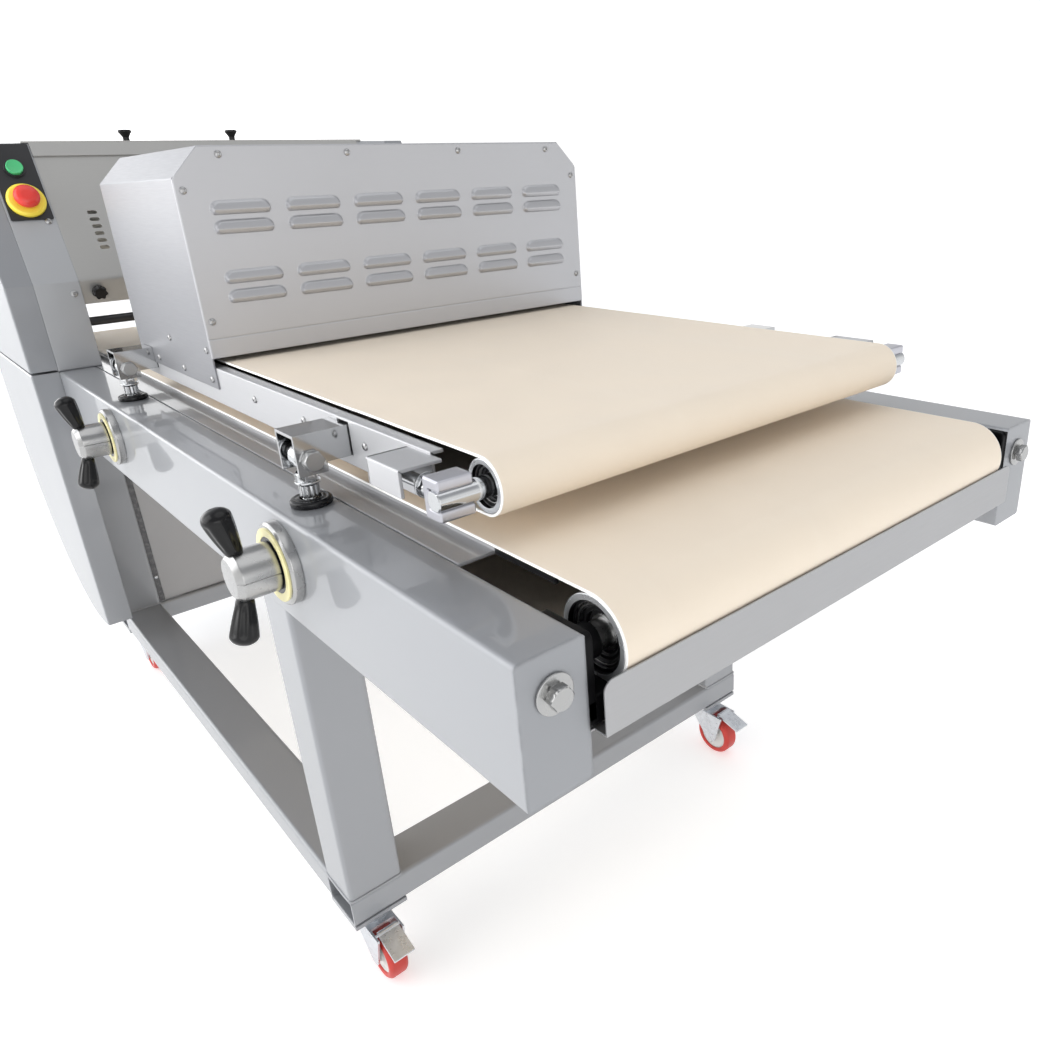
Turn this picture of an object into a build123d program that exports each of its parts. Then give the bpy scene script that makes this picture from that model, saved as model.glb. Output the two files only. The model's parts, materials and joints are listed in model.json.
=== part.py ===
from build123d import *

import os
from math import cos, pi, radians, sin

os.makedirs("parts", exist_ok=True)

# Overall sizes in millimetres: X runs to the outfeed end, Y across, Z up from the floor.
LENGTH = 1900.0
BELT_WIDTH = 595.0
TABLE = 725.0
FRONT = LENGTH / 2
REAR = -LENGTH / 2
BELT_HALF = BELT_WIDTH / 2

# Clearances: faces that only pass each other, shafts that turn, bolts in their holes.
AIR = 0.3
RUN = 0.05
LOOSE = 0.25

# Side beams, folded boxes with a closed end
BELT_TO_BEAM = 30.5
BEAM_WIDTH = 62.0
BEAM_HEIGHT = 125.0
BEAM_WALL = 3.0
BEAM_ROUND = 4.0
BEAM_BOTTOM = TABLE - BEAM_HEIGHT
BEAM_INSIDE = BELT_HALF + BELT_TO_BEAM
HALF = BEAM_INSIDE + BEAM_WIDTH
BEAM_MIDDLE = HALF - BEAM_WIDTH / 2

# Legs and base tubes
LEG = 75.0
LEG_WALL = 3.0
LEG_ROUND = 6.0
LEG_INSET = 8.0
FRONT_LEG_BACK = 462.0
REAR_LEG_AHEAD = 310.0
BASE_HEIGHT = 42.0
LEG_OUTSIDE = HALF - LEG_INSET
LEG_MIDDLE = LEG_OUTSIDE - LEG / 2
FRONT_LEG_X = FRONT - FRONT_LEG_BACK - LEG / 2
REAR_LEG_X = REAR + REAR_LEG_AHEAD - LEG / 2

# Swivel casters
CASTER_HEIGHT = 112.0
CASTER_PLATE = 6.0
WHEEL = 75.0
WHEEL_WIDTH = 28.0
TREAD = 9.0
HUB_DISH = 3.0
TRAIL = 30.0
AXLE = 10.0
CHEEK = 3.0
CHEEK_GAP = 3.0
CHEEK_EYE = 12.0
CROWN = 4.0
CROWN_WIDTH = 46.0
CROWN_ABOVE_WHEEL = 7.0
SWIVEL = 46.0
PEDAL_PIN = 4.0
PEDAL_BARREL = 9.0
PEDAL_REACH = 46.0
PEDAL_WIDTH = 30.0
PEDAL_PLATE = 3.0
PEDAL_ANGLE = 16.0
PEDAL_AHEAD = 16.0
BASE_BOTTOM = CASTER_HEIGHT
BASE_TOP = BASE_BOTTOM + BASE_HEIGHT
SWIVEL_TOP = BASE_BOTTOM - CASTER_PLATE - AIR
CROWN_BOTTOM = WHEEL + CROWN_ABOVE_WHEEL
CHEEK_INSIDE = WHEEL_WIDTH / 2 + CHEEK_GAP

# Belts and their rollers
BELT = 2.5
LOWER_RISE = 10.5
LOWER_ROLLER = 72.0
LOWER_FRONT_BACK = 29.0
LOWER_REAR_IN = 50.0
LOWER_SHAFT = 25.0
UPPER_ROLLER = 48.0
UPPER_FRONT_BACK = 161.0
UPPER_REAR_BACK = 1015.0
UPPER_SHAFT = 20.0
DOUGH_GAP = 24.7
ROLLER_WALL = 4.0
ROLLER_CAP = 8.0
CAP_SET_IN = 9.0
LOWER_TOP = TABLE + LOWER_RISE
LOWER_RADIUS = LOWER_ROLLER / 2
LOWER_Z = LOWER_TOP - BELT - AIR - LOWER_RADIUS
LOWER_FRONT_X = FRONT - LOWER_FRONT_BACK
LOWER_REAR_X = REAR + LOWER_REAR_IN
UPPER_RADIUS = UPPER_ROLLER / 2
UPPER_BOTTOM = LOWER_TOP + DOUGH_GAP
UPPER_Z = UPPER_BOTTOM + BELT + AIR + UPPER_RADIUS
UPPER_TOP = UPPER_Z + UPPER_RADIUS + AIR + BELT
UPPER_FRONT_X = FRONT - UPPER_FRONT_BACK
UPPER_REAR_X = FRONT - UPPER_REAR_BACK

# Lower bed, bearing blocks, tension bolts and front apron
DECK = 3.0
DECK_BACK = 165.0
SLAB_BACK = 80.0
SLAB_EDGE = 6.0
BLOCK_LENGTH = 40.0
BLOCK_HEIGHT = 50.0
SLOT_ROOM = 8.0
TENSION_BOLT = 20.0
TENSION_HEX = 30.0
TENSION_HEAD = 12.5
TENSION_WASHER = 37.0
WASHER = 3.0
TENSION_DROP = 35.0
APRON_SHEET = 1.5
APRON_REACH = 11.0
APRON_TOP_DROP = 39.5
APRON_HEIGHT = 47.5
APRON_CORNER = 10.0
APRON_SIDE_GAP = 6.0
APRON_FLANGE = 52.0
TENSION_Z = TABLE - TENSION_DROP

# Main gearmotor and the chain to the lower drive roller
MOTOR_AHEAD = 160.0
MOTOR_Z = 340.0
MOTOR_BODY = 130.0
MOTOR_LENGTH = 210.0
GEARBOX = 110.0
GEARBOX_LENGTH = 90.0
MOTOR_FOOT = 10.0
MOTOR_FOOT_WIDTH = 120.0
MOTOR_OFFSET = 180.0
MOTOR_SHAFT = 20.0
SPROCKET = 38.0
SPROCKET_WIDTH = 10.0
CHAIN = 5.0
CHAIN_IN = 12.0
MOTOR_X = REAR + MOTOR_AHEAD
CHAIN_Y = -HALF - CHAIN_IN

# Head: columns, guards and sheeting rollers
HEAD_AHEAD = 460.0
COLUMN_WIDTH = 72.0
COLUMN_WALL = 4.0
HEAD_KNEE = 155.0
HEAD_TOP = 392.0
HEAD_LEAN = 110.0
HEAD_TOP_LENGTH = 250.0
HEAD_TAIL = 10.0
COLUMN_ROUND = 3.0
GUARD_DEPTH = 45.0
GUARD_SHEET = 2.0
GUARD_SEAM = 4.0
GUARD_LOW = 207.0
GUARD_BELLY_AHEAD = 129.0
GUARD_BELLY = 284.0
GUARD_HIP_AHEAD = 15.0
GUARD_HIP = 520.0
SHEETER_Z = 960.0
SHEETER_AHEAD = 230.0
SHEETER_ROLLER = 85.0
SHEETER_PITCH = 90.0
SHEETER_SHAFT = 24.0
SHEETER_TEETH = 24
TOOTH_ADD = 3.0
TOOTH_DEPTH = 7.5
TOOTH_ROOT_SHARE = 0.42
TOOTH_TIP_SHARE = 0.24
GEAR_WIDTH = 20.0
GEAR_IN = 20.0
COLUMN_INSIDE = HALF - COLUMN_WIDTH
HEAD_X = REAR + HEAD_AHEAD
KNEE_Z = TABLE + HEAD_KNEE
HEAD_TOP_Z = TABLE + HEAD_TOP
BROW_X = HEAD_X - HEAD_LEAN
CREST_X = BROW_X - HEAD_TOP_LENGTH
TAIL_X = REAR + HEAD_TAIL
SHEETER_X = REAR + SHEETER_AHEAD
LEAN_RISE = HEAD_TOP - HEAD_KNEE

# Head panels
PANEL = 2.0
LIP = 42.0
SLOT_LENGTH = 34.0
SLOT_WIDTH = 7.0
SLOT_PITCH = 13.5
SLOT_COUNT = 6
SLOT_SIDE = 70.0
SLOT_LOW = 60.0
LID_LIP = 26.0
LID_SHEET = 3.0
LID_REACH = 3.0
LID_OVER = 12.0
CHUTE_SHEET = 2.0
CHUTE_PAST = 60.0
CHUTE_TOP = 1085.0
CHUTE_END_AHEAD = 124.0
CHUTE_END = 1005.0
CHUTE_SIDE = 70.0
CABINET_SET_IN = 10.0
CABINET_LOW = 184.0
KNOB_HEAD = 38.0
KNOB_STEM = 16.0
KNOB_HEIGHT = 30.0
KNOB_CAP = 9.0
LID_KNOB_AHEAD = 167.0
LID_KNOB_SIDE = 109.0
LIP_KNOB = 26.0
LIP_KNOB_SIDE = 27.0
LIP_KNOB_DROP = 20.0
LIP_KNOB_HEIGHT = 18.0
BAR = 16.0
BAR_DROP = 74.0
BAR_BACK = 12.0

# Control panel on the near column
CONTROL_LOW = 118.0
CONTROL_EDGE = 3.0
CONTROL_PLATE = 3.0
ESTOP_UP = 152.0
START_UP = 212.0
ESTOP_RING = 60.0
ESTOP_RING_HEIGHT = 10.0
ESTOP_HEAD = 40.0
ESTOP_STEM = 22.0
ESTOP_HEAD_HEIGHT = 16.0
ESTOP_TRAVEL = 5.0
START_BUTTON = 26.0
START_RING = 32.0
START_RING_HEIGHT = 4.0
START_HEIGHT = 7.0
START_TRAVEL = 3.0

# Upper conveyor
SIDE_PLATE = 4.0
HOOD_SHEET = 2.0
BELT_TO_PLATE = 10.2
PLATE_FRONT_BACK = 219.0
PLATE_REAR_BACK = 1115.0
PLATE_BOTTOM_UP = 3.0
PLATE_TOP_DOWN = 3.0
PLATE_FLANGE = 9.0
PLATE_FLANGE_SHEET = 2.0
PRESS_BED = 5.0
BED_FRONT_BACK = 235.0
BED_REAR_BACK = 960.0
SCREW_HEAD = 13.0
SCREW_DOME = 4.0
DOME_SHARE = 0.7
SCREW_BACK = 346.0
SCREW_PITCH = 145.0
SCREW_COUNT = 3
PLATE_IN = BELT_HALF + BELT_TO_PLATE
PLATE_OUT = PLATE_IN + SIDE_PLATE
PLATE_LOW = UPPER_BOTTOM + BELT + PLATE_BOTTOM_UP
PLATE_HIGH = UPPER_TOP - BELT - PLATE_TOP_DOWN
PLATE_SCREW_Z = (PLATE_LOW + PLATE_HIGH) / 2

# Belt tension housings and yokes at the front of the upper conveyor
HOUSING = 40.0
HOUSING_WALL = 3.0
HOUSING_BACK = 203.0
HOUSING_LENGTH = 57.0
YOKE_HEIGHT = 46.0
YOKE_LENGTH = 30.0
YOKE_BACK = 190.0
YOKE_FRONT = 143.0
YOKE_LIP = 11.0
YOKE_WEB = 16.0
ROD = 14.0
ROD_HEX = 22.0
ROD_NUT = 12.0
SHAFT_PROUD = 3.0
HOUSING_X = FRONT - HOUSING_BACK
HOUSING_MIDDLE = PLATE_OUT + HOUSING / 2

# Hood over the upper drive
HOOD_BACK = 762.0
HOOD_LENGTH = 359.0
HOOD_TOP = 349.6
HOOD_BOTTOM = 95.5
HOOD_CHAMFER = 36.0
HOOD_SKIRT = 55.0
HOOD_ROUND = 3.0
LOUVRE_LENGTH = 74.0
LOUVRE_HEIGHT = 18.0
LOUVRE_RISE = 7.0
LOUVRE_COLUMNS = 6
LOUVRE_PITCH = 95.6
LOUVRE_ROWS = (278.5, 255.5, 194.8, 170.7)
LOUVRE_SLOT = 5.0
LOUVRE_ANGLE = 38.0
HOOD_X = FRONT - HOOD_BACK
HOOD_HALF = PLATE_OUT + HOOD_SHEET
HOOD_TOP_Z = TABLE + HOOD_TOP
HOOD_BOTTOM_Z = TABLE + HOOD_BOTTOM
HOOD_REAR_X = HOOD_X - HOOD_LENGTH

# Hood screws: face screws, side screws and skirt screws
FACE_SCREW_EDGE = 8.0
FACE_SCREW_SHARES = (-0.81, -0.27, 0.29, 0.81)
FACE_SCREW_HEIGHTS = (299.5, 142.0)
SKIRT_SCREW_BACKS = (1023.0, 900.0, 780.0)
SKIRT_SCREW_UP = 66.5
SIDE_SCREW_BACKS = (940.0, 779.0)
SIDE_SCREW_UP = 105.0

# Upper gearmotor on its bridge under the hood
BRIDGE = 4.0
BRIDGE_UP = 9.0
BRIDGE_LENGTH = 170.0
BRIDGE_BACK = 930.0
UPPER_MOTOR = 96.0
UPPER_MOTOR_LENGTH = 190.0
UPPER_GEARBOX = 100.0
UPPER_GEARBOX_LENGTH = 80.0

# Cross bars that carry the upper conveyor, lift studs and their bushes
FRONT_LIFT_BACK = 402.0
REAR_LIFT_BACK = 1077.0
LIFT_IN = 37.0
CROSS_WIDTH = 44.0
CROSS_WALL = 3.0
CROSS_TOP_UP = 78.0
CROSS_DEPTH = 32.0
EAR_DEPTH = 42.0
EAR_LENGTH = 30.0
CROSS_OVER = 15.0
SLOT_AHEAD = 12.0
EYE_UP = 51.0
EYE = 26.0
EYE_THICK = 18.0
EYE_SLACK = 1.0
CLEVIS_BOLT = 12.0
CLEVIS_HEX = 19.0
CLEVIS_HEAD = 7.5
STUD = 16.0
STUD_SLACK = 2.5
STUD_NUT_HEX = 24.0
STUD_NUT = 10.0
COLLAR = 25.0
COLLAR_HEIGHT = 17.0
COLLAR_FLANGE = 30.0
COLLAR_FLANGE_HEIGHT = 3.0
COLLAR_GAP = 1.0
BUSH = 45.0
BUSH_HEIGHT = 8.0
CROSS_TOP = TABLE + CROSS_TOP_UP
CROSS_BOTTOM = CROSS_TOP - CROSS_DEPTH
EYE_Z = TABLE + EYE_UP
LIFT_Y = HALF - LIFT_IN
STUD_HOLE = STUD / 2 + STUD_SLACK
BUSH_TOP = TABLE + BUSH_HEIGHT

# Lift handles, their cams and flanges
HANDLE_DROP = 52.0
CAM_LOW = 20.0
CAM_LIFT = 20.0
CAM_POINTS = 12
CAM_WIDTH = 16.0
CAM_GAP = 2.0
HANDLE_SHAFT = 20.0
FLANGE = 88.0
FLANGE_HEIGHT = 12.0
RING = 78.0
RING_HEIGHT = 2.0
HUB = 52.0
HUB_LENGTH = 42.0
HUB_ROUND = 4.0
ARM = 14.0
ARM_OUT = 26.0
ARM_DISH_ANGLE = 13.0
GRIP_ROOT = 17.0
GRIP_TIP = 28.0
GRIP_LENGTH = 44.0
GRIP_ROUND = 9.0
GRIP_START = 31.0
HANDLE_Z = TABLE - HANDLE_DROP
HUB_START = FLANGE_HEIGHT + RING_HEIGHT + AIR
STUD_LOW = HANDLE_Z + CAM_LOW + CAM_GAP


def finish(piece, name):
    """Label a finished piece and write it."""
    piece.part.label = name
    export_step(piece.part, f"parts/{name}.step")


def block(x, y, z, mode=Mode.ADD):
    """Add or cut a box between two values along each axis."""
    spans = (x, y, z)
    with Locations(tuple((low + high) / 2 for low, high in spans)):
        Box(*(abs(high - low) for low, high in spans), mode=mode)


def rod(start, direction, radius, length, mode=Mode.ADD):
    """Add or cut a round bar that runs from a point along a direction."""
    with Locations(Plane(origin=start, z_dir=direction)):
        Cylinder(radius, length, align=(Align.CENTER, Align.CENTER, Align.MIN), mode=mode)


def hexagon(start, direction, across, length):
    """Add a hexagon bar, such as a bolt head or nut."""
    with BuildSketch(Plane(origin=start, z_dir=direction)) as section:
        RegularPolygon(across / 2, 6, major_radius=False)
    extrude(section.sketch, amount=length)


def dome(start, direction, across, height):
    """Add a round screw head with a soft edge."""
    with Locations(Plane(origin=start, z_dir=direction)):
        Cone(across / 2, across / 2 - height * DOME_SHARE, height,
             align=(Align.CENTER, Align.CENTER, Align.MIN))


def outline(points, offset_y, depth, inset=0.0, mode=Mode.ADD):
    """Extrude an XZ outline towards the near side from the plane at y = -offset_y."""
    with BuildSketch(Plane.XZ.offset(offset_y)) as section:
        with BuildLine():
            Polyline(*points, close=True)
        make_face()
        if inset:
            offset(amount=-inset, kind=Kind.INTERSECTION)
    extrude(section.sketch, amount=depth, mode=mode)


# Side beams

def make_beam(side, name):
    """Build one side beam with the holes for shafts, studs and its tension bolt."""
    inner = (side * (HALF - BEAM_WALL), side * (BEAM_INSIDE + BEAM_WALL))
    web = (side * (BEAM_INSIDE - BEAM_WALL), side * (BEAM_INSIDE + 2 * BEAM_WALL))
    with BuildPart() as beam:
        block((REAR, FRONT), (side * HALF, side * BEAM_INSIDE), (BEAM_BOTTOM, TABLE))
        fillet(beam.edges().filter_by(Axis.X), BEAM_ROUND)
        hollow = (BEAM_BOTTOM + BEAM_WALL, TABLE - BEAM_WALL)
        block((REAR + BEAM_WALL, FRONT - BEAM_WALL), inner, hollow, Mode.SUBTRACT)
        slot = LOWER_SHAFT / 2 + SLOT_ROOM
        for roller_x in (LOWER_FRONT_X, LOWER_REAR_X):
            shaft_slot = (roller_x - slot, roller_x + slot)
            block(shaft_slot, web, (LOWER_Z - slot, LOWER_Z + slot), Mode.SUBTRACT)
        rod((FRONT - 2 * BEAM_WALL, side * BEAM_MIDDLE, TENSION_Z), (1, 0, 0),
            TENSION_BOLT / 2 + LOOSE, 3 * BEAM_WALL, Mode.SUBTRACT)
        for back in (FRONT_LIFT_BACK, REAR_LIFT_BACK):
            rod((FRONT - back, side * LIFT_Y, TABLE - 2 * BEAM_WALL), (0, 0, 1),
                STUD_HOLE, 3 * BEAM_WALL, Mode.SUBTRACT)
            hole_length = BEAM_WIDTH if side < 0 else BEAM_WIDTH - BEAM_WALL
            start_y = -HALF if side < 0 else BEAM_INSIDE - BEAM_WALL
            rod((FRONT - back, start_y - BEAM_WALL, HANDLE_Z), (0, 1, 0),
                HANDLE_SHAFT / 2 + RUN, hole_length + 2 * BEAM_WALL, Mode.SUBTRACT)
        if side < 0:
            rod((LOWER_REAR_X, -HALF - BEAM_WALL, LOWER_Z), (0, 1, 0),
                LOWER_SHAFT / 2 + AIR, 3 * BEAM_WALL, Mode.SUBTRACT)
    finish(beam, name)


make_beam(-1, "near_beam")
make_beam(1, "far_beam")

# Legs, four square tubes between the base and the beams
with BuildPart() as legs:
    for leg_x in (FRONT_LEG_X, REAR_LEG_X):
        for side in (-1, 1):
            with BuildSketch(Plane.XY.offset(BASE_TOP)):
                with Locations((leg_x, side * LEG_MIDDLE)):
                    RectangleRounded(LEG, LEG, LEG_ROUND)
                    RectangleRounded(LEG - 2 * LEG_WALL, LEG - 2 * LEG_WALL, LEG_ROUND - LEG_WALL,
                                     mode=Mode.SUBTRACT)
            extrude(amount=BEAM_BOTTOM - BASE_TOP)
finish(legs, "legs")

# Base tubes along the sides
with BuildPart() as side_base_tubes:
    side_length = FRONT_LEG_X - REAR_LEG_X - LEG
    for side in (-1, 1):
        with BuildSketch(Plane.YZ.offset(REAR_LEG_X + LEG / 2)):
            with Locations((side * LEG_MIDDLE, BASE_BOTTOM + BASE_HEIGHT / 2)):
                RectangleRounded(LEG, BASE_HEIGHT, LEG_ROUND)
                RectangleRounded(LEG - 2 * LEG_WALL, BASE_HEIGHT - 2 * LEG_WALL, LEG_ROUND - LEG_WALL,
                                 mode=Mode.SUBTRACT)
        extrude(amount=side_length)
finish(side_base_tubes, "side_base_tubes")

# Base tubes across, with the caster plates welded under their ends
with BuildPart() as cross_base_tubes:
    for leg_x in (FRONT_LEG_X, REAR_LEG_X):
        with BuildSketch(Plane.XZ.offset(-LEG_OUTSIDE)):
            with Locations((leg_x, BASE_BOTTOM + BASE_HEIGHT / 2)):
                RectangleRounded(LEG, BASE_HEIGHT, LEG_ROUND)
                RectangleRounded(LEG - 2 * LEG_WALL, BASE_HEIGHT - 2 * LEG_WALL, LEG_ROUND - LEG_WALL,
                                 mode=Mode.SUBTRACT)
        extrude(amount=2 * LEG_OUTSIDE)
        for side in (-1, 1):
            block((leg_x - LEG / 2, leg_x + LEG / 2),
                  (side * LEG_OUTSIDE, side * (LEG_OUTSIDE - LEG)),
                  (BASE_BOTTOM - CASTER_PLATE, BASE_BOTTOM))
finish(cross_base_tubes, "cross_base_tubes")


# Casters: fork with its axle, wheel, and a brake pedal on the front pair

def make_caster(name, x, y, braked):
    """Build one caster that trails towards the outfeed end."""
    axle_x = x + TRAIL
    axle_z = WHEEL / 2
    pin_x = axle_x + PEDAL_AHEAD
    pin_z = CROWN_BOTTOM + PEDAL_BARREL / 2
    cheek_top = CROWN_BOTTOM + CROWN
    with BuildPart() as fork:
        rod((x, y, cheek_top), (0, 0, 1), SWIVEL / 2, SWIVEL_TOP - cheek_top)
        block((x - CROWN_WIDTH / 2, axle_x), (y - CHEEK_INSIDE - CHEEK, y + CHEEK_INSIDE + CHEEK),
              (CROWN_BOTTOM, cheek_top))
        for side in (-1, 1):
            with BuildSketch(Plane.XZ.offset(-y - side * (CHEEK_INSIDE + CHEEK / 2))):
                with Locations((axle_x, axle_z)):
                    Circle(CHEEK_EYE)
                with BuildLine():
                    Polyline((x - CROWN_WIDTH / 2, cheek_top), (pin_x + PEDAL_BARREL, cheek_top),
                             (pin_x + PEDAL_BARREL, CROWN_BOTTOM), (x - CROWN_WIDTH / 2, CROWN_BOTTOM),
                             close=True)
                make_face()
                make_hull()
            extrude(amount=CHEEK / 2, both=True)
        rod((axle_x, y - CHEEK_INSIDE, axle_z), (0, 1, 0), AXLE / 2, 2 * CHEEK_INSIDE)
        if braked:
            rod((pin_x, y - CHEEK_INSIDE, pin_z), (0, 1, 0), PEDAL_PIN / 2, 2 * CHEEK_INSIDE)
    finish(fork, f"{name}_caster_fork")

    with BuildPart() as wheel:
        rod((axle_x, y - WHEEL_WIDTH / 2, axle_z), (0, 1, 0), WHEEL / 2, WHEEL_WIDTH)
        fillet(wheel.edges().filter_by(GeomType.CIRCLE), HUB_DISH)
        for side in (-1, 1):
            rod((axle_x, y + side * WHEEL_WIDTH / 2, axle_z), (0, -side, 0), WHEEL / 2 - TREAD, HUB_DISH,
                Mode.SUBTRACT)
        rod((axle_x, y - WHEEL_WIDTH / 2, axle_z), (0, 1, 0), AXLE, WHEEL_WIDTH)
        rod((axle_x, y - WHEEL_WIDTH, axle_z), (0, 1, 0), AXLE / 2 + RUN, 2 * WHEEL_WIDTH, Mode.SUBTRACT)
    finish(wheel, f"{name}_caster_wheel")

    if braked:
        slope = radians(PEDAL_ANGLE)
        tread_plane = Plane(origin=(pin_x, y, pin_z), x_dir=(cos(slope), 0, -sin(slope)),
                            z_dir=(sin(slope), 0, cos(slope)))
        half_barrel = CHEEK_INSIDE - CHEEK_GAP
        with BuildPart() as pedal:
            with Locations(tread_plane):
                Box(PEDAL_REACH, PEDAL_WIDTH, PEDAL_PLATE,
                    align=(Align.MIN, Align.CENTER, Align.MIN))
            rod((pin_x, y - half_barrel, pin_z), (0, 1, 0), PEDAL_BARREL / 2, 2 * half_barrel)
            rod((pin_x, y - WHEEL_WIDTH, pin_z), (0, 1, 0), PEDAL_PIN / 2 + RUN, 2 * WHEEL_WIDTH,
                Mode.SUBTRACT)
        finish(pedal, f"{name}_brake_pedal")


make_caster("near_front", FRONT_LEG_X, -LEG_MIDDLE, True)
make_caster("far_front", FRONT_LEG_X, LEG_MIDDLE, True)
make_caster("near_rear", REAR_LEG_X, -LEG_MIDDLE, False)
make_caster("far_rear", REAR_LEG_X, LEG_MIDDLE, False)

# Lower bed: a deck between the beams with a folded-up slab that the belt slides on
with BuildPart() as lower_bed:
    bed_rear = LOWER_REAR_X + LOWER_RADIUS + SLOT_ROOM
    block((bed_rear, FRONT - DECK_BACK), (-BEAM_INSIDE, BEAM_INSIDE), (TABLE - DECK, TABLE))
    slab_x = (bed_rear, FRONT - SLAB_BACK)
    slab_half = BELT_HALF - SLAB_EDGE
    slab_top = LOWER_TOP - BELT
    block(slab_x, (-slab_half, slab_half), (TABLE - DECK, slab_top))
    under_half = slab_half - DECK
    block(slab_x, (-under_half, under_half), (TABLE - DECK, slab_top - DECK), Mode.SUBTRACT)
finish(lower_bed, "lower_bed")


# Belts and rollers

def make_belt(name, front_x, rear_x, z, radius):
    """Build an endless belt round two equal rollers."""
    with BuildPart() as belt:
        with BuildSketch(Plane.XZ):
            with Locations(((front_x + rear_x) / 2, z)):
                SlotCenterToCenter(front_x - rear_x, 2 * (radius + AIR + BELT))
                SlotCenterToCenter(front_x - rear_x, 2 * (radius + AIR), mode=Mode.SUBTRACT)
        extrude(amount=BELT_HALF, both=True)
    finish(belt, name)


def roller_tube(x, z, radius, bore=0.0):
    """Add a roller tube with end caps set into it."""
    rod((x, -BELT_HALF, z), (0, 1, 0), radius, 2 * BELT_HALF)
    rod((x, -BELT_HALF, z), (0, 1, 0), radius - ROLLER_WALL, 2 * BELT_HALF, Mode.SUBTRACT)
    for side in (-1, 1):
        rod((x, side * (BELT_HALF - CAP_SET_IN), z), (0, -side, 0), radius - ROLLER_WALL, ROLLER_CAP)
    if bore:
        rod((x, -BELT_HALF, z), (0, 1, 0), bore, 2 * BELT_HALF, Mode.SUBTRACT)


make_belt("lower_belt", LOWER_FRONT_X, LOWER_REAR_X, LOWER_Z, LOWER_RADIUS)
make_belt("upper_belt", UPPER_FRONT_X, UPPER_REAR_X, UPPER_Z, UPPER_RADIUS)

block_inside = BEAM_INSIDE + BEAM_WALL
block_outside = HALF - BEAM_WALL
with BuildPart() as lower_front_roller:
    roller_tube(LOWER_FRONT_X, LOWER_Z, LOWER_RADIUS)
    shaft_half = block_outside - BEAM_WALL
    rod((LOWER_FRONT_X, -shaft_half, LOWER_Z), (0, 1, 0), LOWER_SHAFT / 2, 2 * shaft_half)
finish(lower_front_roller, "lower_front_roller")

# The drive roller's shaft passes the near beam and carries the chain sprocket
with BuildPart() as lower_drive_roller:
    roller_tube(LOWER_REAR_X, LOWER_Z, LOWER_RADIUS)
    near_end = CHAIN_Y - SPROCKET_WIDTH
    rod((LOWER_REAR_X, near_end, LOWER_Z), (0, 1, 0), LOWER_SHAFT / 2, shaft_half - near_end)
    rod((LOWER_REAR_X, near_end, LOWER_Z), (0, 1, 0), SPROCKET / 2, SPROCKET_WIDTH)
finish(lower_drive_roller, "lower_drive_roller")

with BuildPart() as roller_bearing_blocks:
    for roller_x in (LOWER_FRONT_X, LOWER_REAR_X):
        for side in (-1, 1):
            block((roller_x - BLOCK_LENGTH / 2, roller_x + BLOCK_LENGTH / 2),
                  (side * block_inside, side * block_outside),
                  (LOWER_Z - BLOCK_HEIGHT / 2, LOWER_Z + BLOCK_HEIGHT / 2))
        rod((roller_x, -HALF, LOWER_Z), (0, 1, 0), LOWER_SHAFT / 2 + RUN, 2 * HALF, Mode.SUBTRACT)
finish(roller_bearing_blocks, "roller_bearing_blocks")

with BuildPart() as belt_tension_bolts:
    for side in (-1, 1):
        bolt_y = side * BEAM_MIDDLE
        shank_start = LOWER_FRONT_X + BLOCK_LENGTH / 2
        rod((shank_start, bolt_y, TENSION_Z), (1, 0, 0), TENSION_BOLT / 2, FRONT - shank_start)
        rod((FRONT, bolt_y, TENSION_Z), (1, 0, 0), TENSION_WASHER / 2, WASHER)
        hexagon((FRONT + WASHER, bolt_y, TENSION_Z), (1, 0, 0), TENSION_HEX, TENSION_HEAD)
finish(belt_tension_bolts, "belt_tension_bolts")

# Apron: a bent strip below the outfeed roller, held on the beams' inner faces
with BuildPart() as front_apron:
    apron_half = BEAM_INSIDE - APRON_SIDE_GAP
    apron_top = TABLE - APRON_TOP_DROP
    apron_low = apron_top - APRON_HEIGHT
    apron_face = FRONT + APRON_REACH
    block((apron_face - APRON_SHEET, apron_face), (-apron_half, apron_half), (apron_low, apron_top))
    corners = front_apron.edges().filter_by(Axis.X).group_by(Axis.Z)[-1]
    fillet(corners, APRON_CORNER)
    block((apron_face - APRON_FLANGE, apron_face), (-apron_half, apron_half),
          (apron_low, apron_low + APRON_SHEET))
    for side in (-1, 1):
        block((apron_face - APRON_FLANGE, FRONT - BEAM_WALL),
              (side * apron_half, side * BEAM_INSIDE), (apron_low, apron_low + APRON_SHEET))
finish(front_apron, "front_apron")

# Main gearmotor, standing on the rear base tube
with BuildPart() as drive_motor:
    foot_y = -MOTOR_OFFSET + GEARBOX_LENGTH / 2
    gear_y = (foot_y - GEARBOX_LENGTH, foot_y)
    foot_top = BASE_TOP + MOTOR_FOOT
    block((MOTOR_X - GEARBOX / 2, REAR_LEG_X + LEG / 2),
          (foot_y - MOTOR_FOOT_WIDTH, foot_y + MOTOR_FOOT_WIDTH), (BASE_TOP, foot_top))
    block((MOTOR_X - GEARBOX / 2, MOTOR_X + GEARBOX / 2), gear_y, (foot_top, MOTOR_Z + GEARBOX / 2))
    rod((MOTOR_X, foot_y, MOTOR_Z), (0, 1, 0), MOTOR_BODY / 2, MOTOR_LENGTH)
    bore_y = foot_y - GEARBOX_LENGTH
    rod((MOTOR_X, bore_y, MOTOR_Z), (0, 1, 0), MOTOR_SHAFT / 2 + RUN, GEARBOX_LENGTH / 2, Mode.SUBTRACT)
finish(drive_motor, "drive_motor")

with BuildPart() as motor_sprocket:
    near_end = CHAIN_Y - SPROCKET_WIDTH
    rod((MOTOR_X, near_end, MOTOR_Z), (0, 1, 0), SPROCKET / 2, SPROCKET_WIDTH)
    rod((MOTOR_X, near_end, MOTOR_Z), (0, 1, 0), MOTOR_SHAFT / 2, bore_y + GEARBOX_LENGTH / 4 - near_end)
finish(motor_sprocket, "motor_sprocket")

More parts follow.
